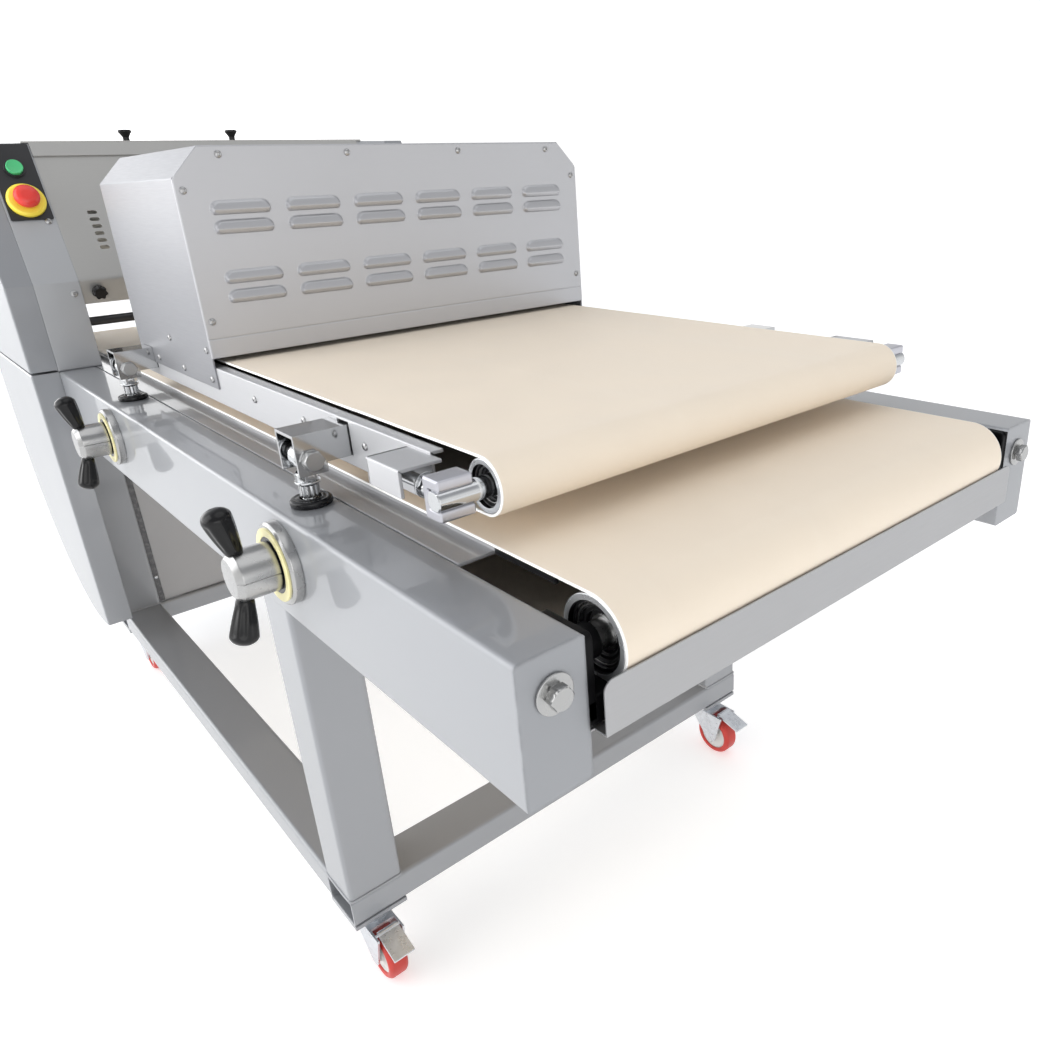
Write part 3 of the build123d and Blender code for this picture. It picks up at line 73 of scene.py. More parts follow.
# Ways in the frame
AHEAD: Point = (1.0, 0.0, 0.0)
FARWARD: Point = (0.0, 1.0, 0.0)
NEARWARD: Point = (0.0, -1.0, 0.0)
UP: Point = (0.0, 0.0, 1.0)

# Most of a noise's values lie in this band
NOISE_BAND: Pair = (0.3, 0.7)

# A stud's eye radius and its distance inside the bush's edge, and a sprocket's teeth and their depth
STUD_EYE = 13.0
STUD_INSET = 22.5
TEETH = 15
TOOTH = 3.5


class Side(Enum):
    """The two long sides of the machine, as signs along Y."""

    NEAR = -1.0
    FAR = 1.0

    @property
    def way(self) -> Point:
        """Give the way outwards on this side."""
        return 0.0, self.value, 0.0


class Grain(Enum):
    """Which way a brushed or drawn grain runs, as how often it repeats along X, Y and Z."""

    NONE = (1.0, 1.0, 1.0)
    LEVEL = (1.0, 1.0, 60.0)
    ACROSS = (60.0, 1.0, 60.0)
    LENGTHWISE = (1.0, 60.0, 60.0)


# Surfaces worked out on grids

@dataclass
class Surface:
    """Faces of one computed surface."""

    points: Array  # in millimetres, one row each
    faces: list[Array]  # blocks with one row of corner numbers per face
    layers: Array | int = 0  # which of the piece's finishes each face takes
    uv: Array | None = None  # flat coordinates of each point in metres


@dataclass(frozen=True)
class Seat:
    """Where a turned or extruded form stands: a point on its axis and the way that the axis runs."""

    start: Point
    axis: Point

    def points(self, along: Array, across: Array, rise: Array) -> Array:
        """Place distances along, beside and above the axis as points in the frame.

        Args:
            along: Distance from the start along the axis.
            across: Distance to the side, level where the axis isn't upright.
            rise: Distance at right angles to both.

        Returns:
            The points, with a last axis of three.
        """
        ahead = np.array(self.axis) / np.linalg.norm(self.axis)
        guide = np.array(UP if abs(ahead[2]) < 0.9 else AHEAD)
        side = np.cross(guide, ahead)
        side /= np.linalg.norm(side)
        up = np.cross(ahead, side)
        offset = along[..., None] * ahead + across[..., None] * side + rise[..., None] * up
        return np.array(self.start) + offset


def span(node: str) -> tuple[Array, Array]:
    """Give a CAD node's lowest and highest corner at rest, in millimetres."""
    low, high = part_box(node)
    return np.array(low) / MM, np.array(high) / MM


def middle_of(node: str) -> Array:
    """Give the middle of a CAD node's box at rest, in millimetres."""
    low, high = span(node)
    return (low + high) / 2


def smooth(share: Array) -> Array:
    """Ease from 0 to 1: 3t² - 2t³ of the share held between 0 and 1."""
    held = np.clip(share, 0.0, 1.0)
    return held * held * (3.0 - 2.0 * held)


def grid_faces(rows: int, columns: int, wrap_rows: bool = False, wrap_columns: bool = False) -> Array:
    """Number the corners of every cell in a grid of points.

    The cell at (i, j) joins the points (i, j), (i, j + 1), (i + 1, j + 1) and (i + 1, j), counted row by row.

    Args:
        rows: Number of lines of points.
        columns: Number of points in a line.
        wrap_rows: Whether the last line joins the first.
        wrap_columns: Whether each line is a loop.

    Returns:
        One row of four corner numbers per cell.
    """
    i = np.arange(rows if wrap_rows else rows - 1)[:, None]
    j = np.arange(columns if wrap_columns else columns - 1)[None, :]
    below = (i + 1) % rows
    right = (j + 1) % columns
    corners = (i * columns + j, i * columns + right, below * columns + right, below * columns + j)
    return np.stack(corners, axis=-1).reshape(-1, 4)


def soften(corners: Corners, reach: float, steps: int = 4, closed: bool = False) -> Array:
    """Round the corners of a line of points.

    Each corner c becomes the curve (1-t)²a + 2t(1-t)c + t²b, where a and b lie `reach` before and after it,
    or half a side away where the side is short. The two ends of an open line stay.

    Args:
        corners: The line's corners.
        reach: How far from a corner its curve starts.
        steps: Number of straight steps in a curve.
        closed: Whether the line is a loop.

    Returns:
        The points of the rounded line.
    """
    line = np.asarray(corners, float)
    before = np.roll(line, 1, axis=0) - line
    after = np.roll(line, -1, axis=0) - line
    before_length = np.maximum(np.linalg.norm(before, axis=1, keepdims=True), MERGE)
    after_length = np.maximum(np.linalg.norm(after, axis=1, keepdims=True), MERGE)
    cut = np.minimum(reach, np.minimum(before_length, after_length) / 2)
    if not closed:
        cut[[0, -1]] = 0.0
    share = np.linspace(0.0, 1.0, steps + 1)[None, :, None]
    start = (line + before / before_length * cut)[:, None]
    end = (line + after / after_length * cut)[:, None]
    curve = (1 - share) ** 2 * start + 2 * share * (1 - share) * line[:, None] + share ** 2 * end
    points = curve.reshape(-1, line.shape[1])
    return points if closed else points[steps:len(points) - steps]


def band(start: float, end: float, inner: float, outer: float) -> Corners:
    """Give a profile's four corners between two distances along its axis and two radii."""
    return (start, inner), (start, outer), (end, outer), (end, inner)


def turned(seat: Seat, profile: Array, facets: int, shape: Shape | None = None, layer: int = 0,
           ring: bool = False) -> Surface:
    """Turn a profile round an axis.

    Point (i, j) lies at the profile's i-th distance along the axis and at its i-th radius, at the angle of
    the j-th facet. The shape may change the radius by angle, as for flats, flutes and teeth.

    Args:
        seat: Start and direction of the axis.
        profile: One row per step: distance along the axis, radius.
        facets: Number of steps round the axis.
        shape: Function of distance, radius and angle that gives the new radius.
        layer: Finish that the faces take.
        ring: Whether the profile is a loop that stays clear of the axis.

    Returns:
        The closed surface.
    """
    angle = np.arange(facets) * TURN / facets
    along = np.repeat(profile[:, :1], facets, axis=1)
    radius = np.repeat(profile[:, 1:], facets, axis=1)
    if shape is not None:
        radius = shape(along, radius, angle[None, :])
    points = seat.points(along, radius * np.sin(angle), radius * np.cos(angle)).reshape(-1, 3)
    faces = grid_faces(len(profile), facets, wrap_rows=ring, wrap_columns=True)
    return Surface(points, [faces], layer)


def turned_solid(seat: Seat, corners: Corners, reach: float, facets: int, shape: Shape | None = None,
                 layer: int = 0) -> Surface:
    """Turn a profile that starts and ends on the axis, its corners softened."""
    return turned(seat, soften(corners, reach), facets, shape, layer)


def turned_ring(seat: Seat, corners: Corners, reach: float, facets: int = 72, layer: int = 0) -> Surface:
    """Turn a closed profile that stays clear of the axis, its corners softened."""
    return turned(seat, soften(corners, reach, closed=True), facets, layer=layer, ring=True)


def prism(seat: Seat, outline: Array, length: float, edge: float, layer: int = 0) -> Surface:
    """Carry a flat outline along an axis, with both rims drawn in by a small edge.

    The drawn-in outline moves each corner by `edge` along (m + n) / (1 + m·n), where m and n are the inward
    normals of its two sides.

    Args:
        seat: Start and direction of the axis; the outline's two values go across and above it.
        outline: Corners of the outline, one row each.
        length: How far the outline is carried.
        edge: Size of the chamfer at both rims.
        layer: Finish that the faces take.

    Returns:
        The closed surface.
    """
    side = np.roll(outline, -1, axis=0) - outline
    side = side / np.maximum(np.linalg.norm(side, axis=1, keepdims=True), MERGE)
    across, rise = outline.T
    winding = np.sign(np.sum(across * np.roll(rise, -1) - rise * np.roll(across, -1)))
    after = winding * np.stack((-side[:, 1], side[:, 0]), axis=1)
    before = np.roll(after, 1, axis=0)
    inner = outline + edge * (before + after) / (1 + np.sum(before * after, axis=1, keepdims=True))
    rows = np.stack((inner, outline, outline, inner))
    along = np.array((0.0, edge, length - edge, length))[:, None] * np.ones(len(outline))
    points = seat.points(along, rows[..., 0], rows[..., 1]).reshape(-1, 3)
    walls = grid_faces(len(rows), len(outline), wrap_columns=True)
    first = np.arange(len(outline))[None, :]
    caps = np.concatenate((first, first + 3 * len(outline)))
    return Surface(points, [walls, caps], layer)


def rectangle(width: float, height: float, corner: float) -> Array:
    """Give the outline of a rectangle about the origin, its corners rounded within a reach."""
    signs = np.array(((-1, -1), (1, -1), (1, 1), (-1, 1)))
    return soften(signs * (width / 2, height / 2), corner, closed=True)


def box_form(low: Sequence[float], high: Sequence[float], corner: float, layer: int = 0) -> Surface:
    """Build an upright block with rounded upright edges and chamfered rims.

    Args:
        low: Lowest corner.
        high: Highest corner.
        corner: Reach of the rounded edges; the chamfers are half of it.
        layer: Finish that the faces take.

    Returns:
        The block.
    """
    middle = np.add(low, high) / 2
    length, width, height = np.subtract(high, low)
    # An upright axis has -Y across and +X above it
    outline = rectangle(width, length, corner)
    return prism(Seat((middle[0], middle[1], low[2]), UP), outline, height, corner / 2, layer)


def stadium(rear: Array, front: Array, radius: float, bend: int, run: int) -> tuple[Array, Array, Array]:
    """Walk once round two equal circles in the XZ plane.

    The walk goes along the upper line to the front, half round, back along the lower line and half round
    again, to where it began. A point lies at its centre plus its outward way times the radius.

    Args:
        rear: Centre (x, z) of the rear circle.
        front: Centre (x, z) of the front circle.
        radius: Radius at which the distance is measured.
        bend: Steps in each half turn.
        run: Steps in each straight run.

    Returns:
        Centres (x, z), outward ways (x, z) and the distance walked.
    """
    reach = front - rear
    length = np.linalg.norm(reach)
    ahead = reach / length
    up = np.array((-ahead[1], ahead[0]))
    share = np.linspace(0.0, 1.0, run, endpoint=False)
    turn = np.linspace(0.0, math.pi, bend, endpoint=False)
    ones = np.ones((bend, 1))
    half = length + math.pi * radius
    centres = np.concatenate((rear + share[:, None] * reach, ones * front, front - share[:, None] * reach,
                              ones * rear, rear[None, :]))
    angle = np.concatenate((0 * share, turn, math.pi + 0 * share, math.pi + turn, (TURN,)))
    walked = np.concatenate((share * length, length + turn * radius, half + share * length,
                             half + length + turn * radius, (2 * half,)))
    outward = np.cos(angle)[:, None] * up + np.sin(angle)[:, None] * ahead
    return centres, outward, walked


def thickened(x: Array, y: Array, z: Array, thick: float, keep: Array | None = None,
              flip: bool = False) -> Surface:
    """Give an open sheet, a grid of points, its thickness.

    The second skin lies behind the first, each point moved back along the mean normal of its faces. A wall
    joins the two skins along every edge that only one face uses.

    Args:
        x: The front skin's places along X: the grid, or one row or column of it.
        y: Its places along Y.
        z: Its places along Z.
        thick: Thickness of the sheet.
        keep: Which cells of the grid are there, or None for all.
        flip: Whether the front skin faces the other way.

    Returns:
        The closed surface.
    """
    grid = np.stack(np.broadcast_arrays(x, y, z), axis=-1)
    points = grid.reshape(-1, 3)
    faces = grid_faces(*grid.shape[:2])
    if keep is not None:
        faces = faces[keep.ravel()]
    if flip:
        faces = faces[:, ::-1]
    corners = points[faces]
    ways = np.cross(corners[:, 2] - corners[:, 0], corners[:, 3] - corners[:, 1])
    normals = np.zeros_like(points)
    np.add.at(normals, faces.ravel(), np.repeat(ways, 4, axis=0))
    back = points - thick * normals / np.maximum(np.linalg.norm(normals, axis=1, keepdims=True), MERGE)
    count = len(points)
    start, end = faces.ravel(), np.roll(faces, -1, axis=1).ravel()
    free = ~np.isin(start * count + end, end * count + start)
    start, end = start[free], end[free]
    walls = np.stack((end, start, start + count, end + count), axis=1)
    blocks = [faces, faces[:, ::-1] + count, walls]
    return Surface(np.concatenate((points, back)), blocks)


# Shapes that change a turned radius

def flutes(count: int, depth: float, start: float, end: float, fade: float) -> Shape:
    """Press even flutes into a turned radius: depth times half of one minus a cosine.

    Args:
        count: Flutes round the axis.
        depth: Depth of a flute.
        start: Distance along the axis at which they start.
        end: Distance at which they end.
        fade: Length over which they ease in and out.

    Returns:
        The shape.
    """

    def press(along: Array, radius: Array, angle: Array) -> Array:
        """Take the flutes' depth off, eased in and out along the axis."""
        hold = smooth((along - start) / fade) * smooth((end - along) / fade)
        return radius - hold * depth * (0.5 - 0.5 * np.cos(count * angle))

    return press


def toothed(along: Array, radius: Array, angle: Array) -> Array:
    """Cut a sprocket's teeth: a clipped cosine off the outer part of the radius, with flat tips and roots."""
    gap = np.clip(0.5 - 1.2 * np.cos(TEETH * angle), 0.0, 1.0)
    return radius - gap * np.minimum(TOOTH, np.maximum(radius - 0.6 * radius.max(), 0.0))


# Small turned parts

def hex_head(seat: Seat, across: float, height: float, layer: int = 0) -> Surface:
    """Turn a bolt head or nut: a cylinder of its corners with both ends bevelled, cut to six flats.

    On the flats the radius is half the width across them over the cosine of the angle from the nearest one.

    Args:
        seat: Middle of its foot and the way that it stands.
        across: Width across flats.
        height: Its height.
        layer: Finish that it takes.

    Returns:
        The head.
    """
    corner = across / math.sqrt(3)
    face = across * 0.48
    bevel = (corner - face) * 0.58
    profile = ((0, 0), (0, face), (bevel, corner), (height - bevel, corner), (height, face), (height, 0))
    sixth = TURN / 6

    def cut(along: Array, radius: Array, angle: Array) -> Array:
        """Take the lesser of the radius and the flats'."""
        return np.minimum(radius, across / 2 / np.cos((angle + sixth / 2) % sixth - sixth / 2))

    return turned(seat, np.array(profile), 72, cut, layer)


def round_screw(seat: Seat, radius: float, height: float, layer: int = 0) -> Surface:
    """Turn a button-head screw: a quarter ellipse from its rim up to a socket.

    Args:
        seat: Middle of its foot and the way that it stands.
        radius: Radius of its rim.
        height: Its height.
        layer: Finish that it takes.

    Returns:
        The screw's head.
    """
    socket_turn = 1.15
    swing = np.linspace(0.0, socket_turn, 7)
    dome = np.stack((height * np.sin(swing), radius * np.cos(swing)), axis=1)
    floor = height * 0.35
    socket = ((floor, 0.95 * radius * math.cos(socket_turn)), (floor, 0.0))
    return turned(seat, np.concatenate((((0.0, 0.0),), dome, socket)), 24, layer=layer)


def washer(seat: Seat, radius: float, thick: float) -> Surface:
    """Turn a disc with softened rims."""
    return turned_solid(seat, band(0, thick, 0, radius), thick * 0.35, 56)


def threaded(seat: Seat, radius: float, length: float, pitch: float) -> Surface:
    """Turn a threaded rod: the radius goes up and down once in every pitch.

    Args:
        seat: Start and direction of its axis.
        radius: Radius over the thread.
        length: Its length.
        pitch: Distance between threads.

    Returns:
        The rod.
    """
    root = radius - 0.55 * pitch
    along = np.arange(0.0, length, pitch / 2)
    wave = np.where(np.arange(len(along)) % 2, radius, root)
    body = np.stack((along, wave), axis=1)
    return turned(seat, np.concatenate((((0.0, 0.0),), body, ((length, root), (length, 0.0)))), 28)


def plain_rod(seat: Seat, radius: float, length: float, chamfer: float = 1.0, layer: int = 0) -> Surface:
    """Turn a round bar with chamfered ends."""
    profile = np.array(((0, 0), (0, radius - chamfer), (chamfer, radius), (length - chamfer, radius),
                        (length, radius - chamfer), (length, 0)))
    return turned(seat, profile, 40, layer=layer)


# Finishes

class Board:
    """A node tree with short ways to add and join nodes."""

    def __init__(self, owner: bpy.types.Material | bpy.types.World, shader: str = "Principled BSDF") -> None:
        """Open the node tree of a material or of the surroundings.

        Args:
            owner: What the tree belongs to.
            shader: Name of the tree's own shader.
        """
        owner.use_nodes = True
        self.tree = owner.node_tree
        self.shader = self.tree.nodes[shader]
        self.place = self.tree.nodes.new("ShaderNodeTexCoord").outputs

    def add(self, kind: str, inputs: Inputs, **settings: object) -> bpy.types.NodeOutputs:
        """Add a node.

        Args:
            kind: Blender's name of the node type, without its first two words.
            inputs: As for feed.
            settings: Properties of the node itself.

        Returns:
            The node's outputs.
        """
        node = self.tree.nodes.new(f"ShaderNode{kind}")
        for key, value in settings.items():
            setattr(node, key, value)
        self.feed(node, inputs)
        return node.outputs

    def feed(self, node: bpy.types.Node, inputs: Inputs) -> None:
        """Set a node's sockets, or link outputs to them.

        Args:
            node: The node.
            inputs: Sockets by name or number, each with a value or with the output that feeds it.
        """
        for key, value in inputs.items():
            if isinstance(value, Socket):
                self.tree.links.new(value, node.inputs[key])
            else:
                node.inputs[key].default_value = value

    def noise(self, source: Socket, scale: Sequence[float], detail: float) -> Socket:
        """Add cloudy noise that repeats `scale` times a metre along each axis."""
        place = self.add("Mapping", {"Vector": source, "Scale": tuple(scale)})[0]
        return self.add("TexNoise", {"Vector": place, "Scale": 1.0, "Detail": detail})["Fac"]

    def ranged(self, source: Socket, start: float, end: float, low: float, high: float) -> Socket:
        """Stretch values from start..end to low..high, held at the ends."""
        inputs = {"Value": source, "From Min": start, "From Max": end, "To Min": low, "To Max": high}
        return self.add("MapRange", inputs)["Result"]

    def blend(self, share: Socket, low: Socket | Colour, high: Socket | Colour) -> Socket:
        """Mix two colours, at the mixing node's colour sockets, by a share."""
        ends = [value if isinstance(value, Socket) else (*value, 1.0) for value in (low, high)]
        return self.add("Mix", {"Factor": share, 6: ends[0], 7: ends[1]}, data_type="RGBA")[2]


def tinted(shade: Colour, share: float) -> Colour:
    """Lighten or darken a colour by a share."""
    return tuple(min(1.0, value * (1.0 + share)) for value in shade)


@dataclass(frozen=True)
class Finish:
    """A hard finish with cloudy colour, uneven gloss, a fine grain and softened edges, whose colour is wear
    and partly painted highlight, and an optional box of painted shade.
    """

    name: str
    shade: Colour
    rough: Pair  # least and greatest roughness
    metal: float = 0.0  # 1 for bare metal
    shine: float = 0.5  # strength of the plain reflection
    coat: float = 0.0
    coat_rough: float = 0.08
    cloud: Pair = (0.05, 0.2)  # share by which the colour wanders, size of its clouds in metres
    bump: Pair = (0.00002, 0.001)  # height and size of the grain in metres
    grain: Grain = Grain.NONE
    rim: float = 0.0008  # radius of softened edges in metres
    wear_and_highlight: Colour | None = None  # colour on the edges: paint wear, and on the grey paint and apron steel partly a painted highlight
    painted_shade_box: tuple[Point, Point] | None = None  # middle and half size of a box coloured near black as painted shade, in metres
    dark: Colour = (0.006, 0.006, 0.007)  # colour of the painted shade in that box

    def material(self) -> bpy.types.Material:
        """Give the finish's material, made on first use."""
        known = bpy.data.materials.get(self.name)
        return known if known is not None else self.mix()

    def mix(self) -> bpy.types.Material:
        """Build the material's nodes.

        Returns:
            The new material.
        """
        material = bpy.data.materials.new(self.name)
        board = Board(material)
        spot = board.place["Object"]
        height, fine = self.bump
        cloud = board.noise(spot, np.ones(3) / self.cloud[1], 4.0)
        grain = board.noise(spot, np.array(self.grain.value) / (fine * max(self.grain.value)), 3.0)
        colour = self.clouded(board, cloud)
        soft = board.add("Bevel", {"Radius": self.rim}, samples=4)[0]
        # Edge colour: wear, and on some finishes partly a painted highlight along the edges
        if self.wear_and_highlight is not None:
            colour = board.blend(self.wear_and_highlight_mask(board, soft, spot), colour, self.wear_and_highlight)
        # Painted shade: inside its box the colour goes near black
        if self.painted_shade_box is not None:
            colour = board.blend(self.painted_shade_mask(board, spot), colour, self.dark)
        source = cloud if self.grain is Grain.NONE else grain
        gloss = board.ranged(source, *NOISE_BAND, *self.rough)
        relief = board.add("Bump", {"Height": grain, "Distance": height, "Strength": 1.0, "Normal": soft})[0]
        board.feed(board.shader, {"Base Color": colour, "Roughness": gloss, "Normal": relief,
                                  "Metallic": self.metal, "Specular IOR Level": self.shine,
                                  "Coat Weight": self.coat, "Coat Roughness": self.coat_rough})
        return material

    def clouded(self, board: Board, cloud: Socket) -> Socket:
        """Let the colour wander with the clouds."""
        ends = [tinted(self.shade, share) for share in (-self.cloud[0], self.cloud[0])]
        return board.blend(board.ranged(cloud, *NOISE_BAND, 0.0, 1.0), *ends)

    def wear_and_highlight_mask(self, board: Board, soft: Socket, spot: Socket) -> Socket:
        """Find the edges that take the edge colour of wear and painted highlight: where the softened normal
        leaves the face's own one, broken up by noise.

        Args:
            board: The material's nodes.
            soft: The softened normal.
            spot: Place on the piece.

        Returns:
            How much of the edge colour each spot takes, from 0 to 1.
        """
        face = board.add("NewGeometry", {})["Normal"]
        facing = board.add("VectorMath", {0: soft, 1: face}, operation="DOT_PRODUCT")["Value"]
        edge = board.ranged(facing, 0.97, 0.80, 0.0, 1.0)
        patch = board.ranged(board.noise(spot, (60.0, 60.0, 60.0), 5.0), 0.45, 0.7, 0.0, 0.8)
        return board.add("Math", {0: edge, 1: patch}, operation="MULTIPLY")[0]

    def painted_shade_mask(self, board: Board, spot: Socket) -> Socket:
        """Find the box of painted shade, the same on both sides and at both ends of the machine.

        It is where the greatest of the three distances from its middle, over its half size, is below 1.

        Args:
            board: The material's nodes.
            spot: Place on the piece.

        Returns:
            1 in the painted shade box and 0 outside.
        """
        middle, half = self.painted_shade_box
        mirrored = board.add("VectorMath", {0: spot}, operation="ABSOLUTE")[0]
        offset = board.add("VectorMath", {0: mirrored, 1: middle}, operation="SUBTRACT")[0]
        away = board.add("VectorMath", {0: offset}, operation="ABSOLUTE")[0]
        share = board.add("VectorMath", {0: away, 1: half}, operation="DIVIDE")[0]
        parts = board.add("SeparateXYZ", {0: share})
        level = board.add("Math", {0: parts[0], 1: parts[1]}, operation="MAXIMUM")[0]
        greatest = board.add("Math", {0: level, 1: parts[2]}, operation="MAXIMUM")[0]
        return board.ranged(greatest, 1.001, 1.0, 0.0, 1.0)


@dataclass(frozen=True)
class WovenBelting(Finish):
    """Cream woven belting: a plain weave on the belt's own flat map, with faint streaks along its run."""

    thread: float = 0.0012  # width of one thread in metres
    streak: Colour = (0.9, 0.82, 0.7)  # colour of the rubbed streaks

    def mix(self) -> bpy.types.Material:
        """Build the weave's nodes.

        Returns:
            The new material.
        """
        material = bpy.data.materials.new(self.name)
        board = Board(material)
        flat = board.place["UV"]
        size = self.cloud[1]
        mesh = board.add("Mapping", {"Vector": flat, "Scale": (1 / self.thread, 1 / self.thread, 1.0)})[0]
        threads = [board.add("TexWave", {"Vector": mesh, "Scale": 0.5}, bands_direction=way)["Fac"]
                   for way in ("X", "Y")]
        over = board.add("TexChecker", {"Vector": mesh, "Scale": 1.0})["Fac"]
        weave = board.add("Mix", {"Factor": over, 2: threads[0], 3: threads[1]})[0]
        cloud = board.noise(flat, (1 / size, 1 / size, 1.0), 5.0)
        lines = board.noise(flat, (0.6, 45.0, 1.0), 3.0)
        colour = self.clouded(board, cloud)
        colour = board.blend(board.ranged(lines, 0.5, 0.75, 0.0, 0.10), colour, self.streak)
        # Painted shade: the weave's hollows are darkened a little
        colour = board.blend(board.ranged(weave, 0.0, 0.6, 0.08, 0.0), colour, tinted(self.shade, -0.3))
        relief = board.add("Bump", {"Height": weave, "Distance": self.bump[0], "Strength": 0.6})[0]
        gloss = board.ranged(cloud, *NOISE_BAND, *self.rough)
        board.feed(board.shader, {"Base Color": colour, "Roughness": gloss, "Normal": relief,
                                  "Sheen Weight": 0.08})
        return material


# Painted shade: the beams' insides below their tops, and the ends of the deck under the belt, coloured near
# black where they lie in shade
BEAM_INSIDE = -span("near_beam")[1][1] * MM
BEAM_TOP = span("near_beam")[1][2] * MM
BEAM_SHADE_BOX = ((0.0, 0.0, BEAM_TOP - 0.043), (2.0, BEAM_INSIDE + 0.0004, 0.040))
DECK_SHADE_BOX = ((0.9, 0.0, 0.7), (0.1147, 1.0, 1.0))

# The grey paint's light edge colour is partly paint wear and partly a painted highlight along the edges
GREY_PAINT = Finish(
    "silver_grey_paint", (0.293, 0.302, 0.318), (0.38, 0.46), metal=0.35, coat=0.6, coat_rough=0.04,
    cloud=(0.012, 0.5), bump=(0.000002, 0.004), rim=0.0025, wear_and_highlight=(0.42, 0.43, 0.455))
# Painted light: the same grey paint, lighter on the head's columns to match how light falls on their front
# faces
COLUMN_PAINT_LIGHTENED = replace(GREY_PAINT, name="column_grey_paint_painted_light", shade=(0.425, 0.435, 0.45))
# The beam paint and the deck grey carry their boxes of painted shade
BEAM_PAINT = replace(GREY_PAINT, name="silver_grey_beam_paint_with_painted_shade", rim=0.005, painted_shade_box=BEAM_SHADE_BOX)
DECK_PAINT = replace(GREY_PAINT, name="deck_grey_with_painted_shade", shade=(0.35, 0.355, 0.37), wear_and_highlight=None, painted_shade_box=DECK_SHADE_BOX)
HOOD_STEEL = Finish(
    "satin_hood_steel", (0.49, 0.493, 0.51), (0.34, 0.42), metal=0.75, cloud=(0.015, 0.3),
    bump=(0.000001, 0.0006), grain=Grain.LEVEL, rim=0.0014)
# Painted shade: the hood steel, darker on the shell to match how little light falls on its sides
SHELL_STEEL_DARKENED = replace(HOOD_STEEL, name="satin_shell_steel_painted_shade", shade=(0.278, 0.281, 0.298))
PLATE_STEEL = replace(HOOD_STEEL, name="satin_plate_steel", shade=(0.50, 0.503, 0.515), metal=0.5)
STAINLESS = Finish(
    "brushed_stainless", (0.47, 0.465, 0.45), (0.42, 0.50), metal=0.8, cloud=(0.02, 0.25),
    bump=(0.0000008, 0.0006), grain=Grain.LEVEL)
STAINLESS_LONG = replace(STAINLESS, name="brushed_stainless_long", grain=Grain.LENGTHWISE)
STAINLESS_ACROSS = replace(STAINLESS, name="brushed_stainless_across", metal=0.6, grain=Grain.ACROSS)
# Painted shade: the stainless, darker on the cabinet sheet, which lies in shade under the head
CABINET_STEEL_DARKENED = replace(STAINLESS, name="cabinet_steel_painted_shade", shade=(0.36, 0.355, 0.355))
# The apron's light edge colour is a painted highlight along its edges
APRON_STEEL = replace(
    STAINLESS, name="brushed_apron_steel", shade=(0.42, 0.42, 0.425), rough=(0.36, 0.46), rim=0.0012,
    wear_and_highlight=(0.75, 0.75, 0.76))
POLISHED = Finish(
    "polished_steel", (0.60, 0.61, 0.62), (0.12, 0.22), metal=1.0, cloud=(0.05, 0.05),
    bump=(0.000002, 0.0008), rim=0.0006)
TURNED_STEEL = replace(POLISHED, name="satin_turned_steel", shade=(0.44, 0.44, 0.435), rough=(0.22, 0.32))
RIM_STEEL = replace(TURNED_STEEL, name="ground_rim_steel", shade=(0.62, 0.635, 0.65), metal=0.7)
SCREW_STEEL = replace(POLISHED, name="screw_steel", shade=(0.45, 0.45, 0.45), rough=(0.24, 0.36))
YOKE_STEEL = replace(POLISHED, name="milled_yoke_steel", shade=(0.56, 0.56, 0.60), rough=(0.30, 0.40))
BRIGHT_BAR = Finish(
    "drawn_bright_steel", (0.50, 0.505, 0.51), (0.07, 0.11), metal=1.0, cloud=(0.04, 0.08),
    bump=(0.0000005, 0.0006), grain=Grain.ACROSS)
ZINC = Finish(
    "zinc_plate", (0.66, 0.68, 0.71), (0.22, 0.38), metal=1.0, cloud=(0.10, 0.012),
    bump=(0.000006, 0.003))
OILED_STEEL = Finish(
    "oiled_steel", (0.20, 0.19, 0.18), (0.25, 0.45), metal=1.0, cloud=(0.2, 0.01), bump=(0.00002, 0.002))
MOTOR_ENAMEL = Finish(
    "motor_enamel", (0.13, 0.16, 0.19), (0.3, 0.45), coat=0.3, cloud=(0.08, 0.05),
    bump=(0.00004, 0.0015), wear_and_highlight=(0.35, 0.36, 0.38))
BELTING = WovenBelting(
    "cream_belting", (0.845, 0.74, 0.605), (0.5, 0.64), cloud=(0.012, 0.07), bump=(0.00012, 0.001))
CUT_EDGE = Finish(
    "belting_cut_edge", (0.95, 0.945, 0.93), (0.8, 0.95), cloud=(0.03, 0.004), bump=(0.0001, 0.0008),
    rim=0.0004)
BLACK_PLASTIC = Finish(
    "black_moulded_plastic", (0.006, 0.006, 0.0065), (0.14, 0.24), shine=0.3, cloud=(0.15, 0.03),
    bump=(0.00003, 0.0009), rim=0.0006)
BLACK_RUBBER = Finish(
    "black_rubber", (0.005, 0.005, 0.006), (0.2, 0.32), shine=0.35, cloud=(0.2, 0.01),
    bump=(0.00005, 0.0012), rim=0.0004)
# Painted shade: a dark grey for the strips that stand for the shade in the gaps beside the cabinet sheet
EDGE_STRIP_SHADE = replace(BLACK_RUBBER, name="grey_edge_strip_painted_shade", shade=(0.12, 0.12, 0.125))
SEAL_BLACK = replace(BLACK_RUBBER, name="bearing_seal_black", rough=(0.12, 0.2), shine=0.9)
BLACK_PAINT = Finish(
    "black_satin_paint", (0.015, 0.015, 0.017), (0.3, 0.42), coat=0.2, cloud=(0.15, 0.05),
    bump=(0.000015, 0.0015), wear_and_highlight=(0.12, 0.12, 0.12))
PALE_YELLOW = Finish("pale_yellow_ring", (0.74, 0.68, 0.36), (0.3, 0.42), cloud=(0.06, 0.02), rim=0.0004)
YELLOW_PLASTIC = Finish("yellow_plastic", (0.86, 0.55, 0.03), (0.25, 0.4), cloud=(0.05, 0.03))
RED_PLASTIC = Finish("red_plastic", (0.62, 0.025, 0.02), (0.2, 0.34), cloud=(0.06, 0.02))
GREEN_PLASTIC = replace(RED_PLASTIC, name="green_plastic", shade=(0.03, 0.30, 0.12), rough=(0.2, 0.35))
